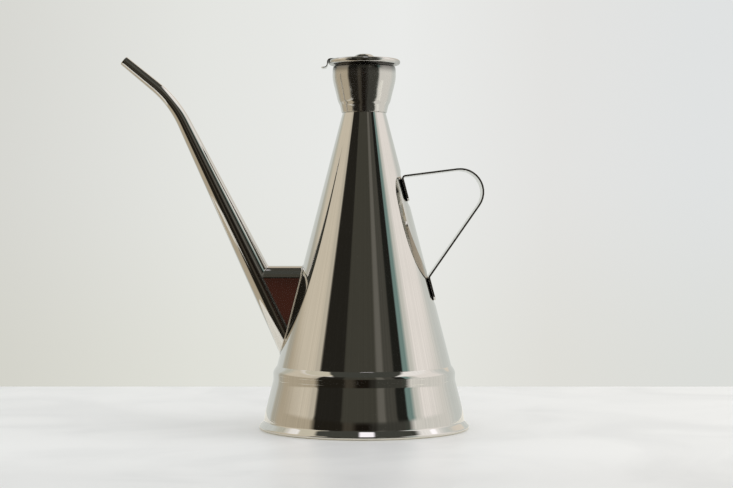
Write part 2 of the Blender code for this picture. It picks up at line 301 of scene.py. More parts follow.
def turned_disc(name: str, face: Array, wall: float, side: int, steps: int) -> Piece:
    """A turned sheet whose face starts on the can's axis, so that it has an outer edge alone.

    Args:
        name: The object's name.
        face: The sheet's shown face.
        wall: Its thickness.
        side: 1 if the sheet lies to the left of the face, -1 if to its right.
        steps: Number of steps round the axis.

    Returns:
        The object.
    """
    outline = sheet_outline(face, wall, side)[:-EDGE_POINTS]
    outline[-1, 0] = 0
    return solid_from(name, turned(outline, steps), False, True)


# Bodies and fitting


class Body(Enum):
    """The two bodies of the frame."""

    CAN = "can"
    LID = "lid"


class Slot(Enum):
    """The record's material slots."""

    POLISHED = "polished_steel"
    SPUN = "spun_steel"
    PRESSED = "pressed_steel"
    SATIN = "satin_steel"


def can_axis_x() -> float:
    """X of the can's axis, the middle of the cone's box."""
    low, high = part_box("body_cone")
    return (low[0] + high[0]) / 2


CAN_X = can_axis_x()


def fit(piece: Piece, body: Body, finish: "SteelFinish", *nodes: str) -> Piece:
    """Dresses a piece, hangs it on its body and reports it.

    Args:
        piece: The finished object.
        body: The body that it moves with.
        finish: The steel that it is made of.
        nodes: The frame's nodes that it stands for.

    Returns:
        The same object.
    """
    piece.data.materials.clear()
    piece.data.materials.append(finish.material())
    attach(piece, body.value)
    if nodes:
        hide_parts(*nodes)
    faces = len(piece.data.polygons)
    LOG.info("%s: %d faces, on %s, for %s", piece.name, faces, body.value, nodes or "a joint")
    return piece


# Finishes


MARK_CUT = (0.45, 0.7, 0.0, 1.0)  # noise between which a handling mark grows, and its shares there
MARK_GRAIN = (0.3, 0.7, 0.5, 1.0)  # the same of the finer noise that breaks it up
GRAIN_FINER = 9.0  # how much finer that noise is
HAZE = 0.97  # share of the light that is left inside a handling mark


def linear(red: float, green: float, blue: float) -> Colour:
    """A screen colour from 0 to 255 as light from 0 to 1, by the sRGB curve."""
    share = np.array((red, green, blue)) / 255
    light = np.where(share <= 0.04045, share / 12.92, ((share + 0.055) / 1.055) ** 2.4)
    return tuple(float(value) for value in light)


def grey(level: float) -> tuple:
    """A shader's opaque colour with the same level of red, green and blue."""
    return (level, level, level, 1)


def feed(node: bpy.types.Node, inputs: dict) -> None:
    """Sets a node's inputs.

    Args:
        node: The node.
        inputs: For each input's name or number, a value or the socket that feeds it.
    """
    for key, value in inputs.items():
        if isinstance(value, Socket):
            node.id_data.links.new(value, node.inputs[key])
        else:
            node.inputs[key].default_value = value


def add_node(tree: Tree, kind: str, inputs: dict | None = None, **settings: Any) -> bpy.types.Node:
    """Adds a node, sets it up and feeds its inputs.

    Args:
        tree: The tree that gets the node.
        kind: The node's type, without the ShaderNode in front of it.
        inputs: As feed takes them.
        settings: Values for the node's own properties.

    Returns:
        The node.
    """
    node = tree.nodes.new("ShaderNode" + kind)
    for name, value in settings.items():
        setattr(node, name, value)
    feed(node, inputs or {})
    return node


def calculated(tree: Tree, operation: str, *values: Any) -> Socket:
    """Result of a Math node on the given values or sockets."""
    return add_node(tree, "Math", dict(enumerate(values)), operation=operation).outputs[0]


def vectors(tree: Tree, operation: str, *values: Any) -> Socket:
    """Result of a Vector Math node on the given values or sockets."""
    return add_node(tree, "VectorMath", dict(enumerate(values)), operation=operation).outputs[0]


def split(tree: Tree, vector: Socket) -> Sequence[Socket]:
    """A vector's three parts."""
    return add_node(tree, "SeparateXYZ", {0: vector}).outputs


def noise(tree: Tree, inputs: dict) -> Socket:
    """Value of a Noise Texture node."""
    return add_node(tree, "TexNoise", inputs).outputs["Fac"]


def from_axis(tree: Tree) -> Socket:
    """Object coordinates, measured from the can's axis."""
    where = add_node(tree, "TexCoord").outputs["Object"]
    return add_node(tree, "Mapping", {"Vector": where, "Location": (-CAN_X, 0, 0)}).outputs[0]


def blended(tree: Tree, share: Any, under: Any, over: Any, kind: str = "MIX") -> Socket:
    """Colour of Mix, whose Factor is share, A is under and B is over."""
    inputs = {"Factor": share, "A": under, "B": over}
    return add_node(tree, "Mix", inputs, data_type="RGBA", blend_type=kind).outputs["Result"]


def mapped(tree: Tree, value: Any, ends: Sequence[Any], kind: str = "LINEAR") -> Socket:
    """A value taken from the range of the first two ends to that of the last two, and held there."""
    inputs = dict(enumerate((value, *ends)))
    return add_node(tree, "MapRange", inputs, interpolation_type=kind).outputs[0]


def risen(tree: Tree, value: Any, start: float, stop: float) -> Socket:
    """A value's smooth rise from 0 at start to 1 at stop, or fall from 1 at stop if stop is smaller."""
    first = float(start > stop)
    return mapped(tree, value, (min(start, stop), max(start, stop), first, 1 - first), "SMOOTHSTEP")


def product(tree: Tree, factors: Sequence[Any]) -> Socket:
    """All factors multiplied, one after the other."""
    return reduce(lambda whole, factor: calculated(tree, "MULTIPLY", whole, factor), factors)


def under_painted_shade(tree: Tree, colour: Any, share: Any, left: float) -> Socket:
    """A colour under painted shade: times 1 where share is 0, and times left where it is 1."""
    return blended(tree, 1.0, colour, mapped(tree, share, (0.0, 1.0, 1.0, left)), "MULTIPLY")


def new_material(name: str) -> tuple[bpy.types.Material, Tree, bpy.types.Node]:
    """A new material with its node tree and its Principled shader."""
    made = bpy.data.materials.new(name)
    made.use_nodes = True
    return made, made.node_tree, made.node_tree.nodes["Principled BSDF"]


def new_group(name: str, inputs: dict[str, Any], outputs: Sequence[str]) -> tuple:
    """Starts a shader node group.

    Args:
        name: The group's name.
        inputs: For each input's name its first value: a number, three of them, or None for a vector
            without one.
        outputs: Names of the outputs, all plain values.

    Returns:
        The group's tree, the sockets of its inputs and the node of its outputs.
    """
    tree = bpy.data.node_groups.new(name, "ShaderNodeTree")
    for label, value in inputs.items():
        kind = "NodeSocketFloat" if isinstance(value, float) else "NodeSocketVector"
        socket = tree.interface.new_socket(label, in_out="INPUT", socket_type=kind)
        if value is not None:
            socket.default_value = value
    for label in outputs:
        tree.interface.new_socket(label, in_out="OUTPUT", socket_type="NodeSocketFloat")
    return tree, tree.nodes.new("NodeGroupInput").outputs, tree.nodes.new("NodeGroupOutput")


def turning_marks_group() -> None:
    """Fine lines that run round the can's axis, as a wheel or a lathe leaves them.

    The noise is read at (x / r, y / r) times Around and at z times Along, so that it has no seam and
    changes fast up the can and slowly round it.
    """
    inputs = {"Vector": None, "Around": 2.0, "Along": 4000.0}
    tree, given, result = new_group("turning_marks", inputs, ["Height"])
    spoke = vectors(tree, "NORMALIZE", vectors(tree, "MULTIPLY", given["Vector"], (1, 1, 0)))
    wide = add_node(tree, "VectorMath", {0: spoke, "Scale": given["Around"]}, operation="SCALE")
    height = calculated(tree, "MULTIPLY", split(tree, given["Vector"])[2], given["Along"])
    up = add_node(tree, "CombineXYZ", {2: height})
    place = vectors(tree, "ADD", wide.outputs[0], up.outputs[0])
    feed(result, {0: noise(tree, {"Vector": place, "Scale": 1.0, "Detail": 3.0, "Roughness": 0.6})})


def wheel_marks_group() -> None:
    """Fine straight scratches along one direction, as a polishing wheel leaves on small parts.

    The noise is read at the place scaled by Stretch, whose small numbers draw the scratches out.
    """
    inputs = {"Vector": None, "Stretch": (300.0, 4000.0, 300.0)}
    tree, given, result = new_group("wheel_marks", inputs, ["Height"])
    place = vectors(tree, "MULTIPLY", given["Vector"], given["Stretch"])
    feed(result, {0: noise(tree, {"Vector": place, "Scale": 1.0, "Detail": 2.0, "Roughness": 0.5})})


def handling_group() -> None:
    """Cloudy marks of hands and cloths.

    Soft noise, cut to its upper part, is the cloud; finer noise breaks it up. Clear and Dulled are the
    roughness outside and inside a mark, and Mark is the mask itself.
    """
    inputs = {"Vector": None, "Size": 40.0, "Clear": 0.05, "Dulled": 0.1}
    tree, given, result = new_group("handling_marks", inputs, ["Roughness", "Mark"])
    place = given["Vector"]
    cloud = noise(tree, {"Vector": place, "Scale": given["Size"], "Detail": 2.0})
    finer = calculated(tree, "MULTIPLY", given["Size"], GRAIN_FINER)
    grain = noise(tree, {"Vector": place, "Scale": finer, "Detail": 3.0})
    mark = product(tree, [mapped(tree, cloud, MARK_CUT), mapped(tree, grain, MARK_GRAIN)])
    rough = mapped(tree, mark, (0.0, 1.0, given["Clear"], given["Dulled"]))
    feed(result, {"Roughness": rough, "Mark": mark})


class Marks(Enum):
    """How a steel's fine lines run."""

    TURNED = "turning_marks"
    WHEELED = "wheel_marks"


GROUPS = {
    "turning_marks": turning_marks_group,
    "wheel_marks": wheel_marks_group,
    "handling_marks": handling_group,
}


def placed_group(tree: Tree, name: str, inputs: dict[str, Any]) -> Sequence[Socket]:
    """Outputs of a shared effect in a material. The effect is built when it is first asked for."""
    if name not in bpy.data.node_groups:
        GROUPS[name]()
    return add_node(tree, "Group", inputs, node_tree=bpy.data.node_groups[name]).outputs


@dataclass(frozen=True)
class SteelFinish:
    """Stainless steel with its polish, its fine lines, its handling marks and, where one is given, a painted
    shade.

    Attributes:
        name: The material's name.
        slot: The record's slot that it stands for. Not used by the script.
        tint: Colour of its reflections.
        clear: Roughness where it is clean.
        dulled: Roughness inside a handling mark.
        marks: How the fine lines run.
        depth: Height of the fine lines.
        around: How fast turned lines change round the can.
        along: How close together turned lines are.
        stretch: Scales of straight lines along X, Y and Z.
        edge: Share of its shine that is left where it is seen edge on.
        painted_shade: Heights between which a painted shade darkens it, and the share of light that it
            leaves.
    """

    name: str
    slot: Slot
    tint: Colour = (0.70, 0.69, 0.665)
    clear: float = 0.03
    dulled: float = 0.06
    marks: Marks = Marks.TURNED
    depth: float = 0.0000012
    around: float = 3.0
    along: float = 2600.0
    stretch: Colour = (300.0, 4000.0, 300.0)
    edge: float = 1.0
    painted_shade: tuple = ()

    def material(self) -> bpy.types.Material:
        """Makes the material on its first use.

        Returns:
            The material.
        """
        known = bpy.data.materials.get(self.name)
        if known:
            return known
        made, tree, shader = new_material(self.name)
        place = from_axis(tree)
        hands = placed_group(
            tree, "handling_marks", {"Vector": place, "Clear": self.clear, "Dulled": self.dulled}
        )
        lines = {"Vector": place, "Stretch": self.stretch}
        if self.marks is Marks.TURNED:
            lines = {"Vector": place, "Around": self.around, "Along": self.along}
        height = placed_group(tree, self.marks.value, lines)["Height"]
        bump = add_node(tree, "Bump", {"Strength": 1.0, "Distance": self.depth, "Height": height})
        hazed = (*(value * HAZE for value in self.tint), 1)
        colour = blended(tree, hands["Mark"], (*self.tint, 1), hazed)
        # Painted shade: between two heights the colour is darkened, standing for the shade that a part over
        # it casts.
        if self.painted_shade:
            start, stop, left = self.painted_shade
            colour = under_painted_shade(tree, colour, risen(tree, split(tree, place)[2], start, stop), left)
        inputs = {
            "Metallic": 1.0,
            "Specular Tint": grey(self.edge),
            "Roughness": hands["Roughness"],
            "Normal": bump.outputs[0],
            "Base Color": colour,
        }
        feed(shader, inputs)
        return made


MIRROR_STEEL = SteelFinish("mirror_steel", Slot.POLISHED)
SPOUT_STEEL = SteelFinish(
    "spout_steel", Slot.POLISHED, clear=0.04, dulled=0.07, marks=Marks.WHEELED, depth=0.0000004
)
STRAP_STEEL = SteelFinish(
    "strap_steel", Slot.POLISHED, clear=0.14, dulled=0.2, marks=Marks.WHEELED, depth=0.0000005
)
SEAM_STEEL = SteelFinish("seam_steel", Slot.POLISHED, clear=0.16, dulled=0.24, marks=Marks.WHEELED)
# The funnel's top is darkened by painted shade between these heights, for the shade under the lid's rim.
SPUN_STEEL = SteelFinish(
    "funnel_steel", Slot.SPUN, clear=0.12, dulled=0.16, depth=0.000003, painted_shade=(0.1884, 0.1931, 0.2)
)
LID_STEEL = SteelFinish("lid_steel", Slot.PRESSED, clear=0.08, dulled=0.12, edge=0.75)
TAB_STEEL = SteelFinish("tab_steel", Slot.PRESSED, clear=0.09, dulled=0.14, marks=Marks.WHEELED)
SATIN_STEEL = SteelFinish("satin_sheet_steel", Slot.SATIN, clear=0.26, dulled=0.32, depth=0.000003)
# The plug's darker tint and its painted shade stand for the shade in the gap under the lid's rim.
SHADED_PLUG_STEEL = SteelFinish(
    "plug_steel", Slot.SATIN, (0.5, 0.49, 0.47), clear=0.22, dulled=0.28, painted_shade=(0.1895, 0.1930, 0.2)
)


# The can's own line


@dataclass(frozen=True)
class ConeLine:
    """The straight line that the body's cone follows, r = foot radius - slope * z."""

    foot_radius: float = 0.05517
    slope: float = (0.05517 - 0.0108) / 0.171

    @property
    def lean(self) -> float:
        """Angle between the line and the can's axis."""
        return math.atan(self.slope)

    def radius(self, height: Any, outside: float = 0) -> Any:
        """Radius at a height, of the line itself or of one that lies that far outside it."""
        return self.foot_radius - self.slope * height + outside / math.cos(self.lean)

    def along(self) -> Array:
        """Unit direction of the line on the handle's side, upwards, in the XZ plane."""
        return np.array((-math.sin(self.lean), math.cos(self.lean)))

    def away(self) -> Array:
        """Unit normal of the line on the handle's side, in the XZ plane."""
        return np.array((math.cos(self.lean), math.sin(self.lean)))

    def met_by(self, start: Array, towards: Array, outside: float = 0) -> Array:
        """Where lines first meet the cone that lies outside this one by a distance.

        With s the start and d the direction seen from the axis, t solves
        (dx^2 + dy^2 - k^2 dz^2) t^2 + 2 (sx dx + sy dy + k dz R) t + sx^2 + sy^2 - R^2 = 0,
        where k is the slope and R the cone's radius at the start's height.

        Args:
            start: Points outside the cone, one row each.
            towards: Their directions.
            outside: How far outside this cone the wanted one lies.

        Returns:
            The meeting points.
        """
        seen = start - np.array((CAN_X, 0, 0))
        radius = self.radius(start[:, 2], outside)
        square = (towards[:, :2] ** 2).sum(axis=1) - (self.slope * towards[:, 2]) ** 2
        half = (seen[:, :2] * towards[:, :2]).sum(axis=1) + self.slope * towards[:, 2] * radius
        rest = (seen[:, :2] ** 2).sum(axis=1) - radius**2
        root = np.sqrt(np.maximum(half**2 - square * rest, 0))
        first = rest / (root - half)
        return start + towards * first[:, None]

    def normals(self, points: Array) -> Array:
        """Outward unit normals of the cone at points on it."""
        spokes = unit(points[:, :2] - np.array((CAN_X, 0)))
        return np.insert(spokes * math.cos(self.lean), 2, math.sin(self.lean), axis=1)


CONE = ConeLine()


# Body


@dataclass
class WeldFlat:
    """A place where a strap's end was spot-welded and pressed the cone flat.

    Attributes:
        top: Height of the flat's upper end.
        length: Its length down the cone.
        depth: How deep the cone's line is pressed in at its middle.
        soft: Over how much of the cone's length each end fades out.
    """

    top: float
    length: float
    depth: float
    soft: float = 0.0035

    def pressed(self, grid: Array) -> Array:
        """The grid with all points beyond the flat's plane moved back to it.

        Args:
            grid: Points of the cone.

        Returns:
            The moved points.
        """
        away, along = CONE.away(), CONE.along()
        corner = np.array((CAN_X + CONE.radius(self.top), self.top))
        flat = grid[..., [0, 2]] - corner
        beyond = np.maximum(flat @ away + self.depth, 0)
        down = -(flat @ along)
        window = smoothstep(-self.soft, 0, down)
        window *= 1 - smoothstep(self.length, self.length + self.soft, down)
        moved = grid.copy()
        moved[..., [0, 2]] -= (beyond * window)[..., None] * away
        return moved


@dataclass
class CanBody:
    """The cone, the skirt with its collar and rolled foot, and the bottom plate.

    Attributes:
        cone_edge: Height of the cone's lower edge, which the collar hides.
        collar_radius: Outer radius at the collar's upper edge, in millimetres.
        skirt_tilts: Pairs of a height in millimetres and the face's tilt there in degrees.
        tilt_weight: How much height a degree counts for where points are spread along these pairs.
        roll_radius: Radius of the roll under the foot, in millimetres.
        roll_stop: Where the roll's arc ends, in degrees.
        plate_face: The bottom plate's underside.
    """

    cone_top: float = 0.171
    cone_edge: float = 0.02868
    wall: float = 0.0005
    steps: int = 288
    cone_rows: int = 200
    cone_edge_points: int = 3
    collar_radius: float = 46.54
    skirt_tilts: tuple = (
        (33.45, 36), (32.20, 35), (31.40, 30), (30.60, 19), (29.80, 8), (29.00, -0.6), (28.50, -1.7),
        (27.40, -1.7), (26.95, -0.6), (26.20, 2.5), (25.60, 9), (25.00, 13.5), (24.40, 14.4), (11.50, 14.4),
        (10.00, 12), (8.50, 9.5), (7.00, 8), (5.80, 6.5), (5.00, 5), (4.60, 8), (4.35, 25), (4.10, 41),
        (3.80, 43.3), (1.79, 43.3),
    )
    tilt_weight: float = 0.03
    skirt_rows: int = 260
    roll_radius: float = 1.05
    roll_stop: float = -218
    roll_points: int = 56
    plate_steps: int = 192
    plate_fillet: float = 0.0006
    fillet_points: int = 5
    plate_face: tuple = (
        (0, 3.2), (20, 3.2), (36.0, 3.2), (37.0, 3.05), (38.0, 2.6), (39.2, 2.4), (45.0, 2.4), (50.2, 2.4),
        (51.3, 2.65), (52.05, 3.3), (52.36, 4.2), (52.36, 6.9),
    )

    def cone(self, flats: Sequence[WeldFlat]) -> Piece:
        """The rolled cone, pressed flat where the strap is welded on.

        Args:
            flats: The places of the welds.

        Returns:
            The piece.
        """
        heights = np.linspace(self.cone_top, self.cone_edge, self.cone_rows)
        face = np.stack((CONE.radius(heights), heights), axis=1)
        grid = turned(sheet_outline(face, self.wall, -1, self.cone_edge_points), self.steps)
        for flat in flats:
            grid = flat.pressed(grid)
        return solid_from("body_cone_sheet", grid, True, True)

    def skirt(self) -> Piece:
        """Collar, skirt, waist and rolled foot in one sheet.

        The shown face is given by its tilt from the vertical at each height, so its radius grows by the
        tilt's tangent for each unit of height, summed down from the collar's edge by trapezoids. The
        roll's arc goes on from it under the foot.

        Returns:
            The piece.
        """
        weights = np.array((1, self.tilt_weight))
        heights, tilts = (resampled(np.array(self.skirt_tilts) * weights, self.skirt_rows) / weights).T
        slopes = np.tan(np.radians(tilts))
        growth = -np.diff(heights) * (slopes[1:] + slopes[:-1]) / 2
        radii = self.collar_radius + np.concatenate(([0.0], np.cumsum(growth)))
        face = np.stack((radii, heights), axis=1)
        last = tilts[-1]
        centre = face[-1] - arc((0, 0), self.roll_radius, last, last, 1)[0]
        roll = arc(centre, self.roll_radius, last, self.roll_stop, self.roll_points)
        return turned_sheet("base_skirt_sheet", np.vstack((face, roll[1:])) * MM, self.wall, self.steps)

    def bottom(self) -> Piece:
        """The pan under the can, whose underside runs along the panel, the ring and the rim.

        Returns:
            The piece.
        """
        corners = [np.array(point) * MM for point in self.plate_face]
        under = filleted(corners, [self.plate_fillet] * (len(corners) - 2), self.fillet_points)
        return turned_disc("bottom_plate_sheet", under, self.wall, 1, self.plate_steps)

    def build(self, flats: Sequence[WeldFlat]) -> None:
        """Makes and fits the body's pieces."""
        fit(self.cone(flats), Body.CAN, MIRROR_STEEL, "body_cone")
        fit(self.skirt(), Body.CAN, MIRROR_STEEL, "base_skirt")
        fit(self.bottom(), Body.CAN, SATIN_STEEL, "bottom_plate")


# Mouth and lid


@dataclass
class Mouth:
    """The spun funnel whose foot sleeves the cone's top."""

    wall: float = 0.0005
    steps: int = 256
    rows: int = 150
    face: tuple = (
        (16.30, 192.95), (16.56, 192.64), (16.71, 192.20), (16.81, 191.60), (16.88, 190.60), (16.90, 189.20),
        (16.88, 187.60), (16.74, 186.10), (16.50, 184.60), (16.12, 182.90), (15.66, 181.00), (15.20, 179.20),
        (14.78, 177.50), (14.42, 176.00), (14.12, 174.80), (13.84, 173.90), (13.46, 173.10), (13.14, 172.50),
        (12.88, 171.80), (12.58, 170.60), (12.10, 168.40),
    )

    def build(self) -> None:
        """Makes the funnel, a spline from the mouth's edge down to the sleeve, and fits it."""
        outer = spline(np.array(self.face), self.rows) * MM
        funnel = turned_sheet("mouth_funnel_sheet", outer, self.wall, self.steps)
        fit(funnel, Body.CAN, SPUN_STEEL, "mouth_funnel")


@dataclass
class Lid:
    """The press-in lid: a disc with a boss and a rolled rim, a plug ring and a lift tab.

    Attributes:
        roll_centre: Middle of the rim's roll, in millimetres.
        roll_radius: Radius of the roll's shown face, in millimetres.
        roll_stop: Where the roll's arc ends, in degrees.
        tab_root: Where the tab starts on the disc and where it nears the roll, in millimetres along X.
        tab_shoulder: Start and end of the tab's arc round the roll, in degrees.
        tab_spot: How far the weld's dent lies from the tab's start.
        tab_drop: The tab's middle line from the shoulder to the tip.
    """

    wall: float = 0.00045
    steps: int = 256
    boss_face: tuple = (
        (0.0, 199.68), (2.2, 199.65), (3.4, 199.48), (4.3, 199.12), (5.1, 198.58), (5.8, 198.02),
        (6.5, 197.50), (7.2, 197.06), (8.0, 196.78), (9.4, 196.63), (12.0, 196.60),
    )
    roll_centre: tuple = (17.91, 195.25)
    roll_radius: float = 1.34
    roll_stop: float = -165
    boss_rows: int = 80
    plate_rows: int = 12
    roll_rows: int = 56
    plug_wall: float = 0.0005
    plug_steps: int = 192
    plug_rows: int = 40
    plug_face: tuple = (
        (15.76, 195.85), (15.77, 193.4), (15.76, 190.6), (15.72, 189.0), (15.5, 187.8), (15.36, 187.15),
    )
    tab_root: tuple = (-13.45, -15.5)
    tab_shoulder: tuple = (90, 178)
    tab_shoulder_rows: int = 10
    tab_rows: int = 90
    tab_spot: float = 0.0022
    tab_width: float = 0.008
    tab_thickness: float = 0.0005
    tab_corner: float = 0.0016
    tab_drop: tuple = (
        (-19.62, 194.40), (-19.82, 193.50), (-20.28, 192.82), (-21.00, 192.42), (-21.90, 192.34),
        (-22.85, 192.42),
    )

    def disc(self) -> Piece:
        """The pressed disc: a spline over the boss, the plate, and a rim curled under.

        Returns:
            The piece.
        """
        boss = spline(np.array(self.boss_face), self.boss_rows)
        roll = arc(self.roll_centre, self.roll_radius, 90, self.roll_stop, self.roll_rows)
        plate = np.linspace(boss[-1], roll[0], self.plate_rows)[1:-1]
        outer = np.vstack((boss, plate, roll)) * MM
        return turned_disc("lid_disc_sheet", outer, self.wall, -1, self.steps)

    def plug(self) -> Piece:
        """The ring that enters the mouth, drawn in at its lower end by a spline."""
        outer = spline(np.array(self.plug_face), self.plug_rows) * MM
        return turned_sheet("lid_plug_sheet", outer, self.plug_wall, self.plug_steps)

    def tab(self) -> Piece:
        """The strip over the rim: along the disc, round the roll, down, and curled out.

        Returns:
            The piece.
        """
        ride = self.roll_radius + (TOUCH + self.tab_thickness / 2) / MM
        middle_x, middle_z = self.roll_centre
        root = [(place, middle_z + ride) for place in self.tab_root]
        shoulder = arc((-middle_x, middle_z), ride, *self.tab_shoulder, self.tab_shoulder_rows)
        knots = np.vstack((root, shoulder, self.tab_drop)) * MM
        path = spline(knots, self.tab_rows) + np.array((CAN_X, 0))
        spot = Dimple(self.tab_spot, 0, face=-1)
        strip = Strip(self.tab_width, self.tab_thickness, self.tab_corner, [spot])
        return strip.solid("lid_tab_strip", path)

    def build(self) -> None:
        """Makes and fits the lid's pieces."""
        fit(self.disc(), Body.LID, LID_STEEL, "lid_disc")
        fit(self.plug(), Body.LID, SHADED_PLUG_STEEL, "lid_plug_ring")
        fit(self.tab(), Body.LID, TAB_STEEL, "lid_lift_tab")


# Strips


@dataclass(frozen=True)
class Dimple:
    """A spot weld's dent in a strip.

    Attributes:
        along: Its distance from the strip's start, or from its end if negative.
        across: Its distance from the strip's middle line.
        radius: Over what distance its depth falls to a third.
        depth: How deep it is.
        face: 1 for the face on the path's left, -1 for the one on its right.
    """

    along: float
    across: float
    radius: float = 0.0011
    depth: float = 0.00012
    face: int = 1


@dataclass
class Strip:
    """A flat strip of metal, bent along a path in the XZ plane and as wide as given along Y.

    Attributes:
        width: Its width.
        thickness: Its thickness.
        corner: Radius of its four corners, seen from above.
        dimples: Dents in its faces.
        edge_share: Radius of its section's corners, as a share of the thickness.
        flat_points: How many points its section has across each face.
        corner_points: How many points each of its section's corners has.
        end_points: How many sections each round end has.
    """

    width: float
    thickness: float
    corner: float
    dimples: Sequence[Dimple] = ()
    edge_share: float = 0.14
    flat_points: int = 31
    corner_points: int = 4
    end_points: int = 10

    def section(self) -> tuple[Array, Array, Array]:
        """The section's closed loop, clockwise from its upper right corner.

        Returns:
            For each point the side that it is on, from -1 to 1, how far it reaches out from that side's
            corner centre, and its height.
        """
        edge = self.thickness * self.edge_share
        turns = np.linspace(0, math.pi / 2, self.corner_points)
        face = np.linspace(-1, 1, self.flat_points + 2)[1:-1]
        sides, reaches, heights = [], [], []
        for quarter, (side, level) in enumerate(((1, 1), (1, -1), (-1, -1), (-1, 1))):
            angle = math.pi / 2 * (1 - quarter) - turns
            sides.append(np.full(self.corner_points, float(side)))
            reaches.append(np.cos(angle) * edge)
            heights.append(level * (self.thickness / 2 - edge) + np.sin(angle) * edge)
            if quarter in (1, 3):
                sides.append(face * -side)
                reaches.append(np.zeros(self.flat_points))
                heights.append(np.full(self.flat_points, level * self.thickness / 2))
        return np.concatenate(sides), np.concatenate(reaches), np.concatenate(heights)

    def stations(self, length: float, along: Array) -> Array:
        """Distances along the path that have a section: the path's own, and more at both round ends."""
        near = self.corner * (1 - np.cos(np.linspace(0, math.pi / 2, self.end_points)))
        return np.unique(np.concatenate((along, near, length - near)))

    def solid(self, name: str, path: Array) -> Piece:
        """The strip along a path.

        Near each end the half width shrinks by c - sqrt(c^2 - (c - d)^2), with c the corner's radius and
        d the distance from the end, and a dimple takes depth * exp(-(distance / radius)^2) off the face.

        Args:
            name: The object's name.
            path: Its middle line, as (x, z) points.

        Returns:
            The piece.
        """
        along = run_lengths(path)
        length = along[-1]
        stations = self.stations(length, along)
        line = np.stack([np.interp(stations, along, column) for column in path.T], axis=1)
        normal = left_of(tangents(line))
        missing = np.clip(self.corner - np.minimum(stations, length - stations), 0, self.corner)
        half = self.width / 2 - self.corner + np.sqrt(self.corner**2 - missing**2)
        sides, reaches, heights = self.section()
        across = sides * (half[:, None] - self.thickness * self.edge_share) + reaches
        lift = np.broadcast_to(heights, across.shape).copy()
        for dimple in self.dimples:
            start = dimple.along if dimple.along >= 0 else length + dimple.along
            apart = (stations[:, None] - start) ** 2 + (across - dimple.across) ** 2
            dented = (heights * dimple.face > 0) * dimple.face
            lift -= dented * dimple.depth * np.exp(-apart / dimple.radius**2)
        grid = np.empty((*across.shape, 3))
        grid[..., 0] = line[:, :1] + normal[:, :1] * lift
        grid[..., 1] = across
        grid[..., 2] = line[:, 1:] + normal[:, 1:] * lift
        return solid_from(name, grid, False, True)


@dataclass
class Handle:
    """The strap: an upper tang, a run out, the grip's bend, a run back and a lower tang.

    Attributes:
        upper: Height where the upper tang turns away from the cone.
        lower: Height where the lower one does.
        out: How far out the corner of the grip lies from the upper one, before it is rounded.
        rise: How far above it that corner lies.
        bend: Radius where a tang turns into a run.
        upper_depth: How deep the upper tang presses the cone in.
        grip_clear: How far off the cone's line the grip's corner is measured from.
        spot_from_end: How far the welds' dents lie from the strap's ends.
        spot_aside: How far they lie from its middle line.
    """

    width: float = 0.018
    thickness: float = 0.001
    corner: float = 0.0022
    upper: float = 0.1342
    lower: float = 0.0806
    out: float = 0.05555
    rise: float = 0.0069
    grip_radius: float = 0.0122
    bend: float = 0.0014
    upper_tang: float = 0.0135
    lower_tang: float = 0.0126
    upper_depth: float = 0.00075
    lower_depth: float = 0.0004
    grip_clear: float = 0.00025
    spot_from_end: float = 0.0045
    spot_aside: float = 0.0032
    bend_points: int = 14
    path_points: int = 420

    def flats(self) -> list[WeldFlat]:
        """Where the two tangs press the cone flat."""
        return [
            WeldFlat(self.upper, self.upper_tang, self.upper_depth),
            WeldFlat(self.lower, self.lower_tang, self.lower_depth),
        ]

    def line(self) -> Array:
        """The strap's middle line.

        Returns:
            Its points, from the end of the upper tang to that of the lower one.
        """
        along, away = CONE.along(), CONE.away()
        rest = TOUCH + self.thickness / 2

        def seat(height: float, depth: float) -> Array:
            """A point of the middle line where it leaves the cone."""
            return np.array((CAN_X + CONE.radius(height), height)) + away * (rest - depth)

        upper = seat(self.upper, self.upper_depth)
        lower = seat(self.lower, self.lower_depth)
        grip = seat(self.upper, -self.grip_clear) + np.array((self.out, self.rise))
        corners = [upper - along * self.upper_tang, upper, grip, lower, lower - along * self.lower_tang]
        path = filleted(corners, [self.bend, self.grip_radius, self.bend], self.bend_points)
        return resampled(path, self.path_points)

    def build(self) -> None:
        """Makes and fits the strap."""
        spots = [
            Dimple(face * -self.spot_from_end, side * self.spot_aside, face=face)
            for face in (-1, 1)
            for side in (-1, 1)
        ]
        band = Strip(self.width, self.thickness, self.corner, spots)
        fit(band.solid("handle_strap_band", self.line()), Body.CAN, STRAP_STEEL, "handle_strap")


# Spout and brace


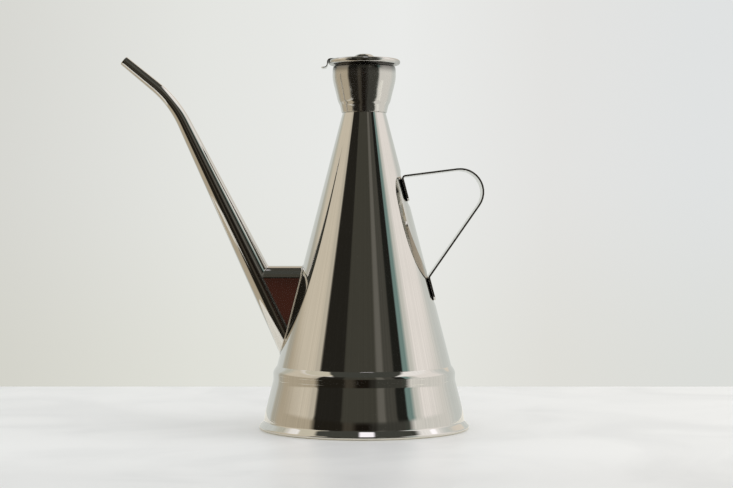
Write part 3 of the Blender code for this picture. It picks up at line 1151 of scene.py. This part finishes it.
@dataclass
class Spout:
    """The tapered tube: a tip run, a bend and a long run down to a saddle on the cone.

    Attributes:
        foot_height: Height where the middle line meets the cone.
        run: Length of the long run, from there to where both runs would meet.
        tip_length: Length of the tip run, from that corner to the open end.
        tip_lean: Angle of the tip run off the vertical.
        lean: Angle of the long run off the vertical.
        bend: Radius of the middle line's bend.
        middle_radius: Outer radius at the corner.
        stop_above_foot: How far up the middle line from the foot the last ring round it lies.
        down: Direction of the long run, in the XZ plane.
        tip_down: Direction of the tip run.
        foot: Where the middle line meets the cone.
        corner: Where both runs would meet.
        tip: Middle of the open end.
    """

    foot_height: float = 0.0517
    run: float = 0.1365
    tip_length: float = 0.0346
    tip_lean: float = math.radians(50.7)
    lean: float = math.radians(26.1)
    bend: float = 0.06
    tip_radius: float = 0.00265
    middle_radius: float = 0.0032
    foot_radius: float = 0.008
    wall: float = 0.0006
    bead_reach: float = 0.0006
    stop_above_foot: float = 0.03
    sides: int = 72
    rows: int = 150
    bend_points: int = 40
    saddle_rows: int = 25
    lip_rows: int = 8
    sharp: float = 60
    down: Array = field(init=False)
    tip_down: Array = field(init=False)
    foot: Array = field(init=False)
    corner: Array = field(init=False)
    tip: Array = field(init=False)

    def __post_init__(self) -> None:
        """Works out the middle line's corners in the XZ plane."""
        self.down = np.array((math.sin(self.lean), -math.cos(self.lean)))
        self.tip_down = np.array((math.sin(self.tip_lean), -math.cos(self.tip_lean)))
        self.foot = np.array((CAN_X - CONE.radius(self.foot_height), self.foot_height))
        self.corner = self.foot - self.down * self.run
        self.tip = self.corner - self.tip_down * self.tip_length

    def radius(self, way: Array) -> Array:
        """Outer radius at a distance past the corner, which is negative on the tip run."""
        tip = self.middle_radius + (self.middle_radius - self.tip_radius) * way / self.tip_length
        long = self.middle_radius + (self.foot_radius - self.middle_radius) * way / self.run
        return np.where(way < 0, tip, long)

    def radius_at(self, height: Array) -> Array:
        """Outer radius of the long run where its middle line passes a height."""
        return self.radius((self.corner[1] - height) / math.cos(self.lean))

    def rings(self, line: Array, grown: float) -> Array:
        """Rings of the surface round a middle line: centre + radius * (up cos t + side sin t).

        Args:
            line: Points of the middle line, as (x, z).
            grown: How far outside the tube's outer surface the rings lie.

        Returns:
            Points, as rings by sides by three.
        """
        along = tangents(line)
        along[0] = self.tip_down if np.allclose(line[0], self.tip, atol=self.wall) else along[0]
        past = line - self.corner
        way = np.where(line[:, 1] < self.corner[1], past @ self.down, past @ self.tip_down)
        radius = (self.radius(way) + grown)[:, None]
        turns = np.arange(self.sides) * FULL_TURN / self.sides
        points = np.empty((len(line), self.sides, 3))
        points[..., 0] = line[:, :1] + along[:, 1:] * radius * np.cos(turns)
        points[..., 1] = radius * np.sin(turns)
        points[..., 2] = line[:, 1:] - along[:, :1] * radius * np.cos(turns)
        return points

    def skin(self, grown: float, start: float) -> Array:
        """Rings of a surface from the tip to the saddle on the cone.

        The last ring round the middle line lies a little above the foot. From there each of its points
        goes straight on to the cone.

        Args:
            grown: How far outside the tube's outer surface it lies.
            start: How far below the tip it starts.

        Returns:
            Points, as rings by sides by three.
        """
        low = self.foot - self.down * self.stop_above_foot
        corners = [self.tip + self.tip_down * start, self.corner, low]
        path = filleted(corners, [self.bend], self.bend_points)
        rings = self.rings(resampled(path, self.rows), grown)
        towards = unit(rings[-1] - rings[-2])
        saddle = CONE.met_by(rings[-1], towards, TOUCH)
        shares = np.linspace(0, 1, self.saddle_rows)[1:, None, None]
        return np.concatenate((rings, rings[-1] + (saddle - rings[-1]) * shares))

    def tube(self) -> Piece:
        """The tube: its outer surface, a half-round lip at the tip and its bore.

        Returns:
            The piece.
        """
        half = self.wall / 2
        outer = self.skin(0, half)
        bore = self.skin(-self.wall, half)
        middle = (outer[0] + bore[0]) / 2
        outwards = outer[0] - middle
        over = np.array((-self.tip_down[0], 0, -self.tip_down[1])) * half
        turn = np.linspace(0, math.pi, self.lip_rows)[1:-1, None, None]
        lip = middle + outwards * np.cos(turn) + over * np.sin(turn)
        grid = np.concatenate((outer[::-1], lip, bore))
        return solid_from("spout_tube_sheet", grid, True, True, self.sharp)

    def saddle_bead(self) -> Piece:
        """The weld bead round the spout's foot.

        Returns:
            The piece.
        """
        above, corner = self.skin(0, 0)[-2:]
        outwards = unit(corner - corner.mean(axis=0))
        spread = laid_flat(outwards, CONE.normals(corner))
        return bead("spout_foot_bead", corner, unit(above - corner), spread, self.bead_reach, True)

    def build(self) -> None:
        """Makes and fits the spout and its bead."""
        fit(self.tube(), Body.CAN, SPOUT_STEEL, "spout_tube")
        fit(self.saddle_bead(), Body.CAN, SEAM_STEEL)


BEAD_POINTS = 8
BEAD_HOLLOW = 0.22  # how far outside the corner its curve is drawn towards, as a share of its reach
BEAD_SINK = 0.15  # how far inside the corner its back lies, as a share of its reach
BEAD_SHARP = 50


def laid_flat(directions: Array, normals: Array) -> Array:
    """Directions without their part along unit normals, scaled to length one."""
    return unit(directions - (directions * normals).sum(axis=1, keepdims=True) * normals)


def bead(name: str, corner: Array, first: Array, second: Array, reach: float, closed: bool) -> Piece:
    """A concave weld bead in the corner between two surfaces.

    Its shown face is the quadratic Bezier curve from corner + reach * first to corner + reach * second,
    drawn towards a point a little outside the corner, and its back lies just inside the corner.

    Args:
        name: The object's name.
        corner: Points of the line where the surfaces meet.
        first: Unit directions away from that line on one surface.
        second: Unit directions away from it on the other.
        reach: How far the bead reaches on each surface.
        closed: Whether the line is a loop.

    Returns:
        The piece.
    """
    outwards = unit(first + second)
    share = np.linspace(0, 1, BEAD_POINTS)[None, :, None]
    control = corner + outwards * reach * BEAD_HOLLOW
    ends = corner + first * reach, corner + second * reach
    curve = ends[0][:, None] * (1 - share) ** 2 + 2 * control[:, None] * share * (1 - share)
    curve = curve + ends[1][:, None] * share**2
    back = (corner - outwards * reach * BEAD_SINK)[:, None]
    return solid_from(name, np.concatenate((curve, back), axis=1), closed, True, BEAD_SHARP)


@dataclass
class Brace:
    """The folded sheet between spout and cone: a half-round back and two cheeks that flare downwards.

    Attributes:
        spout: The spout that it holds.
        top: Height of its back.
        inset: How far inside the spout's sides its cheeks stand.
        first_half: First guess at the back's radius.
        lowest_between: Two heights between which the cheeks end.
        shortest: Least length along X that it keeps where the cheeks end.
    """

    spout: Spout
    top: float = 0.0865
    wall: float = 0.0006
    inset: float = 0.00015
    cone_bead: float = 0.0005
    spout_bead: float = 0.0004
    first_half: float = 0.0067
    half_rounds: int = 8
    lowest_between: tuple = (0.045, 0.06)
    lowest_rounds: int = 40
    columns: int = 64
    cheek_rows: int = 60
    back_rows: int = 61
    shortest: float = 1e-6
    sharp: float = 50

    def half_width(self) -> float:
        """Radius of the half-round back, which the cheeks run into, found by repeated substitution.

        Returns:
            The radius.
        """
        half = self.first_half
        for _ in range(self.half_rounds):
            half = float(self.spout.radius_at(self.top - half)) - self.inset
        return half

    def spout_x(self, across: Array, height: Array) -> Array:
        """X where lines along X at a place (y, z) leave the spout on the can's side.

        The spout's long run is a cone about its middle line: with w the way along the line from the
        corner, |p - corner|^2 - w^2 = (r + k w)^2, which is quadratic in x. The larger root is taken.

        Args:
            across: Y of the lines.
            height: Z of the lines.

        Returns:
            X of the meeting points, or of the nearest approach where a line passes the spout by.
        """
        spout = self.spout
        grow = (spout.foot_radius - spout.middle_radius) / spout.run
        down_x, down_z = spout.down
        rise = height - spout.corner[1]
        tilt = 1 + grow**2
        square = 1 - tilt * down_x**2
        half = -(tilt * down_x * down_z * rise + spout.middle_radius * grow * down_x)
        drop = down_z * rise
        rest = across**2 + rise**2 - tilt * drop**2 - spout.middle_radius**2
        rest = rest - 2 * spout.middle_radius * grow * drop
        root = np.sqrt(np.maximum(half**2 - square * rest, 0))
        return spout.corner[0] + (root - half) / square

    def cone_x(self, across: Array, height: Array) -> Array:
        """X where a line along X at a place (y, z) meets the cone on the spout's side."""
        return CAN_X - np.sqrt(CONE.radius(height, TOUCH) ** 2 - across**2)

    def lowest(self) -> float:
        """Height at which a cheek shrinks to nothing between spout and cone, found by halving.

        Returns:
            The height.
        """
        low, high = self.lowest_between
        for _ in range(self.lowest_rounds):
            height = (low + high) / 2
            across = self.spout.radius_at(height) - self.inset
            open_there = self.cone_x(across, height) > self.spout_x(across, height)
            low, high = (low, height) if open_there else (height, high)
        return high

    def fold(self) -> Array:
        """The outer face across the brace.

        Returns:
            Points as (y, z): up one cheek, over the back and down the other.
        """
        half = self.half_width()
        heights = np.linspace(self.lowest(), self.top - half, self.cheek_rows)
        cheek = np.stack((self.inset - self.spout.radius_at(heights), heights), axis=1)
        back = arc((0, self.top - half), half, 180, 0, self.back_rows)
        other = cheek[::-1] * np.array((-1, 1))
        return np.vstack((cheek[:-1], back, other[1:]))

    def sheet(self) -> Piece:
        """The brace: the fold's closed outline, carried along X from the spout to the cone.

        Returns:
            The piece.
        """
        fold = self.fold()
        inner = fold - left_of(tangents(fold)) * self.wall
        outline = np.vstack((fold, inner[::-1]))
        across, height = outline[:, 0], outline[:, 1]
        start = self.spout_x(across, height)
        stop = np.maximum(self.cone_x(across, height), start + self.shortest)
        shares = np.linspace(0, 1, self.columns)
        grid = np.empty((len(outline), self.columns, 3))
        grid[..., 0] = start[:, None] + (stop - start)[:, None] * shares
        grid[..., 1] = across[:, None]
        grid[..., 2] = height[:, None]
        return solid_from("spout_brace_sheet", grid, True, False, self.sharp)

    def spout_normals(self, points: Array) -> Array:
        """Unit directions to points from the nearest places of the long run's middle line."""
        down = np.insert(self.spout.down, 1, 0)
        past = points - np.insert(self.spout.corner, 1, 0)
        return unit(past - (past @ down)[:, None] * down)

    def beads(self) -> list[Piece]:
        """The weld beads along the cone and along the spout.

        Returns:
            The two pieces.
        """
        fold = self.fold()
        across, height = fold.T
        outwards = np.insert(left_of(tangents(fold)), 0, 0, axis=1)
        along_x = np.tile((1.0, 0.0, 0.0), (len(fold), 1))
        made = []
        for name, x, normals, away, reach in (
            ("brace_cone_bead", self.cone_x, CONE.normals, -along_x, self.cone_bead),
            ("brace_spout_bead", self.spout_x, self.spout_normals, along_x, self.spout_bead),
        ):
            corner = np.stack((x(across, height), across, height), axis=1)
            made.append(bead(name, corner, away, laid_flat(outwards, normals(corner)), reach, False))
        return made

    def build(self) -> None:
        """Makes and fits the brace and its beads."""
        fit(self.sheet(), Body.CAN, SPOUT_STEEL, "spout_brace")
        for piece in self.beads():
            fit(piece, Body.CAN, SEAM_STEEL)


# Light, room and table


@dataclass(frozen=True)
class Band:
    """A part of the room round the can, as polished steel shows it.

    Attributes:
        start: Where it starts, in degrees to the right of straight ahead of the can's front.
        stop: Where it ends.
        colour: Its screen colour in the steel, from 0 to 255.
    """

    start: float
    stop: float
    colour: Colour


@dataclass(frozen=True)
class Patch:
    """A box of directions with a colour of its own, as polished steel shows it.

    Attributes:
        east: Lowest and highest share of the direction that points along +X.
        north: Lowest and highest share of it that points along +Y.
        rise: Lowest and highest angle above the horizon, in degrees.
        colour: Its screen colour in the steel.
        soft: Half the width of its blurred edges, in shares; the rise is blurred by 57 times that.
    """

    east: tuple[float, float]
    north: tuple[float, float]
    rise: tuple[float, float]
    colour: Colour
    soft: float = 0.02


def light_back(colour: Colour) -> tuple:
    """Light that polished steel has to meet to show a screen colour."""
    return (*(light / tint for light, tint in zip(linear(*colour), MIRROR_STEEL.tint)), 1)


def turn_of(tree: Tree, aside: Any, ahead: Any) -> Socket:
    """Angle in degrees by which a direction points aside of ahead."""
    return calculated(tree, "DEGREES", calculated(tree, "ARCTAN2", aside, ahead))


def ramp(tree: Tree, turn: Socket, width: float, stops: Sequence[tuple[float, tuple]]) -> Socket:
    """A colour ramp over a turn in degrees.

    Args:
        tree: The tree that gets its nodes.
        turn: The turn.
        width: How many degrees the ramp spans, with 0 in its middle.
        stops: Pairs of a turn and the shader's colour there.

    Returns:
        The colour at the turn.
    """
    share = calculated(tree, "MULTIPLY_ADD", turn, 1 / width, 0.5)
    node = add_node(tree, "ValToRGB", {"Fac": share})
    elements = node.color_ramp.elements
    while len(elements) < len(stops):
        elements.new(1.0)
    for number, (place, colour) in enumerate(sorted(stops)):
        elements[number].position = place / width + 0.5
        elements[number].color = colour
    return node.outputs["Color"]


@dataclass
class Room:
    """The world: a pale wall for the camera, a room for reflections, and plain light for the rest."""

    bands: tuple = (
        Band(-180, -140, (186, 187, 180)),
        Band(-133, -128, (174, 171, 156)),
        Band(-118, -72, (193, 182, 162)),
        Band(-68, -63, (178, 169, 151)),
        Band(-60, -28, (33, 31, 26)),
        Band(-26, 14.5, (60, 58, 50)),
        Band(18, 24, (94, 91, 83)),
        Band(27, 38.5, (66, 64, 57)),
        Band(41, 52, (28, 28, 24)),
        Band(54, 60, (107, 128, 121)),
        Band(65, 68, (186, 184, 174)),
        Band(76, 112, (220, 213, 205)),
        Band(131, 180, (186, 187, 180)),
    )
    low_bands: tuple = (
        Band(-180, -140, (186, 187, 180)),
        Band(-133, -128, (160, 155, 140)),
        Band(-118, -66, (165, 153, 131)),
        Band(-58, -26, (30, 27, 21)),
        Band(-22, -15, (60, 55, 46)),
        Band(-8, 4, (22, 18, 13)),
        Band(10, 13, (40, 38, 33)),
        Band(17, 47, (56, 55, 49)),
        Band(50, 53, (60, 62, 55)),
        Band(60, 112, (200, 196, 187)),
        Band(131, 180, (186, 187, 180)),
    )
    low_rise: tuple = (9, 16)
    roof_rise: tuple = (37, 45)
    roof: Colour = (61, 61, 55)
    roof_side: Colour = (226, 221, 214)
    roof_half_width: tuple = (0.51, 0.57)
    patches: tuple = (
        Patch((-1.1, -0.50), (-0.40, 0.25), (42, 72), (190, 182, 162)),
        Patch((-0.60, -0.35), (0.27, 0.7), (44, 95), (255, 250, 248)),
        Patch((0.33, 0.66), (0.27, 0.7), (44, 95), (255, 250, 250)),
        Patch((-0.055, 0.115), (-0.24, 0.06), (76, 95), (250, 244, 246)),
        Patch((0.06, 0.60), (0.45, 1.1), (15, 60), (205, 195, 180), 0.03),
        Patch((-0.14, -0.01), (0.42, 0.9), (34, 66), (180, 168, 150)),
        Patch((-0.070, -0.034), (-1.1, 0), (1.2, 3.0), (58, 31, 23), 0.004),
    )
    streak_scale: float = 0.45
    streak_ends: tuple = (0.3, 0.7, 0.93, 1.06)
    wall_stops: tuple = (
        (-12.5, (216, 216, 211)),
        (-5.8, (228, 229, 225)),
        (1.2, (234, 235, 233)),
        (6.4, (227, 227, 225)),
        (11.6, (224, 226, 226)),
    )
    wall_width: float = 30
    wall_fade: tuple = (3, -6)
    wall_low: Colour = (0.955, 0.95, 0.91)
    plain_level: float = 0.93

    def round_about(self, tree: Tree, turn: Socket, bands: Sequence[Band]) -> Socket:
        """Colour of the bands at a turn, faded from each band's stop to the next one's start."""
        stops = [(edge, light_back(band.colour)) for band in bands for edge in (band.start, band.stop)]
        return ramp(tree, turn, 360, stops)

    def patched(self, tree: Tree, colour: Socket, patch: Patch, way: Sequence[Socket]) -> Socket:
        """The room's colour with a patch laid over it.

        Args:
            tree: The tree that gets the nodes.
            colour: The colour under the patch.
            patch: The patch.
            way: The direction's shares along +X and +Y, and its angle above the horizon.

        Returns:
            The colour.
        """
        sides = []
        softs = (patch.soft, patch.soft, math.degrees(patch.soft))
        for value, (first, last), soft in zip(way, (patch.east, patch.north, patch.rise), softs):
            sides.append(risen(tree, value, first - soft, first + soft))
            sides.append(risen(tree, value, last + soft, last - soft))
        return blended(tree, product(tree, sides), colour, light_back(patch.colour))

    def room_colour(self, tree: Tree, east: Socket, north: Socket, rise: Socket) -> Socket:
        """The room by direction: bands round the can, other bands low down, a roof and its patches.

        Args:
            tree: The tree that gets the nodes.
            east: The direction's share along +X.
            north: Its share along +Y.
            rise: Its angle above the horizon, in degrees.

        Returns:
            The colour that reflections meet.
        """
        turn = turn_of(tree, east, calculated(tree, "MULTIPLY", north, -1.0))
        low = self.round_about(tree, turn, self.low_bands)
        level = self.round_about(tree, turn, self.bands)
        colour = blended(tree, risen(tree, rise, *self.low_rise), low, level)
        aside = risen(tree, calculated(tree, "ABSOLUTE", east), *self.roof_half_width)
        roof = blended(tree, aside, light_back(self.roof), light_back(self.roof_side))
        colour = blended(tree, risen(tree, rise, *self.roof_rise), colour, roof)
        streaks = add_node(
            tree, "TexNoise", {"W": turn, "Scale": self.streak_scale}, noise_dimensions="1D"
        )
        shade = mapped(tree, streaks.outputs["Fac"], self.streak_ends)
        colour = blended(tree, 1.0, colour, shade, "MULTIPLY")
        for patch in self.patches:
            colour = self.patched(tree, colour, patch, (east, north, rise))
        return colour

    def wall_colour(self, tree: Tree, east: Socket, north: Socket, rise: Socket) -> Socket:
        """The wall behind the can: brighter in the middle, and a little darker and warmer low down.

        Args:
            tree: The tree that gets the nodes.
            east: The direction's share along +X.
            north: Its share along +Y.
            rise: Its angle above the horizon, in degrees.

        Returns:
            The colour that the camera sees.
        """
        stops = [(angle, (*linear(*colour), 1)) for angle, colour in self.wall_stops]
        across = ramp(tree, turn_of(tree, east, north), self.wall_width, stops)
        warm = blended(tree, risen(tree, rise, *self.wall_fade), grey(1), (*self.wall_low, 1))
        return blended(tree, 1.0, across, warm, "MULTIPLY")

    def build(self) -> None:
        """Sets the world up: the wall for camera rays, the room for glossy rays, plain light else."""
        world = bpy.data.worlds.new("room")
        bpy.context.scene.world = world
        world.use_nodes = True
        tree = world.node_tree
        east, north, up = split(tree, add_node(tree, "TexCoord").outputs["Generated"])
        rise = calculated(tree, "DEGREES", calculated(tree, "ARCSINE", up))
        rays = add_node(tree, "LightPath").outputs
        room = self.room_colour(tree, east, north, rise)
        lit = blended(tree, rays["Is Glossy Ray"], grey(self.plain_level), room)
        shown = blended(tree, rays["Is Camera Ray"], lit, self.wall_colour(tree, east, north, rise))
        feed(tree.nodes["Background"], {"Color": shown})
        LOG.info("room: %d bands round the can, %d patches", len(self.bands), len(self.patches))


@dataclass(frozen=True)
class Bay:
    """An ellipse on the table that the steel shows dark, as if someone stood behind it.

    Attributes:
        middle: Its middle, as (x from the can's axis, y).
        reach: Its half widths along X and Y.
        beyond: It is there for rays longer than this.
    """

    middle: tuple[float, float]
    reach: tuple[float, float]
    beyond: float


@dataclass
class Table:
    """A marble slab, whose reflection in the steel ends at a nearer edge with round bays in it."""

    size: tuple = (1.5, 0.80, 0.03)
    back: float = 0.238
    edge_radius: float = 0.004
    edge_points: int = 6
    sharp: float = 30
    pale: Colour = (0.885, 0.888, 0.88)
    cloud: Colour = (0.80, 0.805, 0.80)
    cloud_scale: float = 9.0
    cloud_detail: float = 5.0
    cloud_distortion: float = 1.2
    cloud_range: tuple = (0.35, 0.72)
    roughness: float = 0.38
    # Painted shade: the marble is darker towards the front, down to this level, between these two places
    # along Y.
    near_shade_level: float = 0.88
    near_from: tuple = (-0.20, -0.08)
    shown_front: float = -0.265
    shown_left: float = -0.42
    edge_soft: float = 0.006
    bays: tuple = (
        Bay((0.06, -0.30), (0.1145, 0.11), 0),
        Bay((0, -0.15), (0.33, 0.26), 0.17),
        Bay((0, 0.06), (0.42, 0.24), 0.17),
        Bay((0.62, 0.05), (0.32, 0.20), 0.35),
    )
    bay_edge: tuple = (0.96, 1.04)
    # Painted light: a warm glow that the marble gives off to glossy rays alone, so that the steel shows it
    # brighter.
    glossy_glow: Colour = (0.10, 0.075, 0.015)

    def mirrored(self, tree: Tree, place: Socket) -> Socket:
        """Where the steel shows the slab: behind the front edge, right of the left one, off the bays.

        A place lies in a bay where the squares of its distances from the bay's middle, each divided by
        the bay's reach that way, add up to less than 1.

        Args:
            tree: The tree that gets the nodes.
            place: The place on the slab, measured from the can's axis.

        Returns:
            1 where the steel shows the slab, and 0 elsewhere.
        """
        across, along, _ = split(tree, place)
        soft = self.edge_soft
        factors = [
            risen(tree, along, self.shown_front - soft, self.shown_front + soft),
            risen(tree, across, self.shown_left - soft, self.shown_left + soft),
        ]
        length = add_node(tree, "LightPath").outputs["Ray Length"]
        for bay in self.bays:
            squares = []
            for value, middle, reach in zip((across, along), bay.middle, bay.reach):
                share = calculated(tree, "MULTIPLY_ADD", value, 1 / reach, -middle / reach)
                squares.append(calculated(tree, "MULTIPLY", share, share))
            apart = calculated(tree, "SQRT", calculated(tree, "ADD", *squares))
            shorter = calculated(tree, "LESS_THAN", length, bay.beyond)
            factors.append(calculated(tree, "MAXIMUM", risen(tree, apart, *self.bay_edge), shorter))
        return product(tree, factors)

    def marble(self) -> bpy.types.Material:
        """White marble with faint clouds, darker towards the front by painted shade, with a painted glow for
        glossy rays, and clear to glossy rays where the steel doesn't show it.

        Returns:
            The material.
        """
        made, tree, shader = new_material("table_marble")
        place = add_node(tree, "TexCoord").outputs["Object"]
        inputs = {
            "Vector": place,
            "Scale": self.cloud_scale,
            "Detail": self.cloud_detail,
            "Distortion": self.cloud_distortion,
        }
        tone = risen(tree, noise(tree, inputs), *self.cloud_range)
        veined = blended(tree, tone, (*self.pale, 1), (*self.cloud, 1))
        # Painted shade: darker towards the front of the slab.
        nearness = risen(tree, split(tree, place)[1], *self.near_from)
        level = blended(tree, nearness, grey(self.near_shade_level), grey(1))
        # Painted light: the marble glows for glossy rays alone.
        glossy = add_node(tree, "LightPath").outputs["Is Glossy Ray"]
        inputs = {
            "Base Color": blended(tree, 1.0, veined, level, "MULTIPLY"),
            "Roughness": self.roughness,
            "Emission Color": (*self.glossy_glow, 1),
            "Emission Strength": glossy,
        }
        feed(shader, inputs)
        hidden = calculated(tree, "SUBTRACT", 1.0, self.mirrored(tree, from_axis(tree)))
        inside = add_node(tree, "NewGeometry").outputs["Backfacing"]
        unseen = calculated(tree, "MULTIPLY", calculated(tree, "MAXIMUM", hidden, inside), glossy)
        clear = add_node(tree, "BsdfTransparent").outputs[0]
        shown = add_node(tree, "MixShader", {0: unseen, 1: shader.outputs[0], 2: clear})
        feed(tree.nodes["Material Output"], {"Surface": shown.outputs[0]})
        return made

    def build(self) -> None:
        """Makes the slab, with its top at height 0 and its back edge behind the can."""
        width, depth, height = self.size
        front = self.back - depth
        corners = np.array(((front, -height), (self.back, -height), (self.back, 0), (front, 0)))
        start = (corners[0] + corners[1]) / 2
        around = [start, *corners[1:], corners[0], start]
        rounded = filleted(around, [self.edge_radius] * len(corners), self.edge_points)[:-1]
        grid = np.empty((len(rounded), 2, 3))
        grid[..., 0] = CAN_X - width / 2, CAN_X + width / 2
        grid[..., 1:] = rounded[:, None]
        slab = solid_from("table_slab", grid, True, False, self.sharp)
        slab.data.materials.append(self.marble())
        LOG.info("table: %d faces", len(slab.data.polygons))


@dataclass
class Flag:
    """A dark card over the spout's tip, which only reflections show."""

    middle: tuple = (-0.035, 0.015, 0.35)
    size: tuple = (0.062, 0.18, 0.002)
    colour: Colour = (61, 59, 52)
    grain_scale: float = 30.0
    grain_range: tuple = (0.0, 0.4)

    def build(self) -> None:
        """Makes the card, which glows as dark as the room does."""
        width, depth, height = self.size
        grid = np.empty((2, 4, 3))
        grid[..., :2] = np.array(((1, 1), (-1, 1), (-1, -1), (1, -1))) / 2 * (width, depth)
        grid[..., :2] += np.add(self.middle[:2], (CAN_X, 0))
        grid[..., 2] = self.middle[2] + np.array(((0,), (height,)))
        card = solid_from("dark_card", grid, False, True)
        made, tree, shader = new_material("dark_card")
        grain = risen(tree, noise(tree, {"Scale": self.grain_scale}), *self.grain_range)
        inputs = {
            "Base Color": grey(0),
            "Specular IOR Level": 0,
            "Emission Color": blended(tree, grain, grey(0), light_back(self.colour)),
            "Emission Strength": 1,
        }
        feed(shader, inputs)
        card.data.materials.append(made)
        card.visible_camera = card.visible_diffuse = card.visible_shadow = card.visible_transmission = False
        LOG.info("card: %d faces", len(card.data.polygons))


@dataclass
class Lamp:
    """A wide soft lamp on the right, unseen by camera and glossy rays."""

    size: tuple = (1.2, 1.0)
    place: tuple = (1.1, -0.1, 0.9)
    tilt: float = math.radians(52)
    power: float = 5.0

    def build(self) -> None:
        """Makes the lamp, and leaves colours as they are written."""
        lamp = bpy.data.lights.new("soft_lamp", "AREA")
        lamp.shape = "RECTANGLE"
        lamp.size, lamp.size_y = self.size
        lamp.energy = self.power
        holder = placed("soft_lamp", lamp)
        holder.location = np.add(self.place, (CAN_X, 0, 0))
        holder.rotation_euler = (0, self.tilt, 0)
        holder.visible_glossy = False
        holder.visible_camera = False
        bpy.context.scene.view_settings.view_transform = "Standard"


@dataclass
class Eye:
    """The camera, level and straight ahead of the can."""

    aside: float = 0.00123
    back: float = 0.870
    height: float = 0.1035
    lens: float = 79.9
    sensor: float = 36
    image_width: int = 733
    horizon_above_middle: float = 10.0

    def build(self) -> None:
        """Makes the camera. Its shift puts the horizon a few pixels above the image's middle."""
        camera = bpy.data.cameras.new("eye")
        camera.lens = self.lens
        camera.sensor_width = self.sensor
        camera.shift_y = -self.horizon_above_middle / self.image_width
        holder = placed("eye", camera)
        holder.location = (CAN_X + self.aside, -self.back, self.height)
        holder.rotation_euler = (math.pi / 2, 0, 0)
        bpy.context.scene.camera = holder


# All together


def main() -> None:
    """Builds the camera, the room and the cruet's pieces."""
    logging.basicConfig(level=logging.INFO, format="%(name)s: %(message)s")
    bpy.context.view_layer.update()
    Eye().build()
    Room().build()
    Table().build()
    Flag().build()
    Lamp().build()
    handle = Handle()
    CanBody().build(handle.flats())
    Mouth().build()
    Lid().build()
    spout = Spout()
    spout.build()
    Brace(spout).build()
    handle.build()


if __name__ == "__main__":
    main()
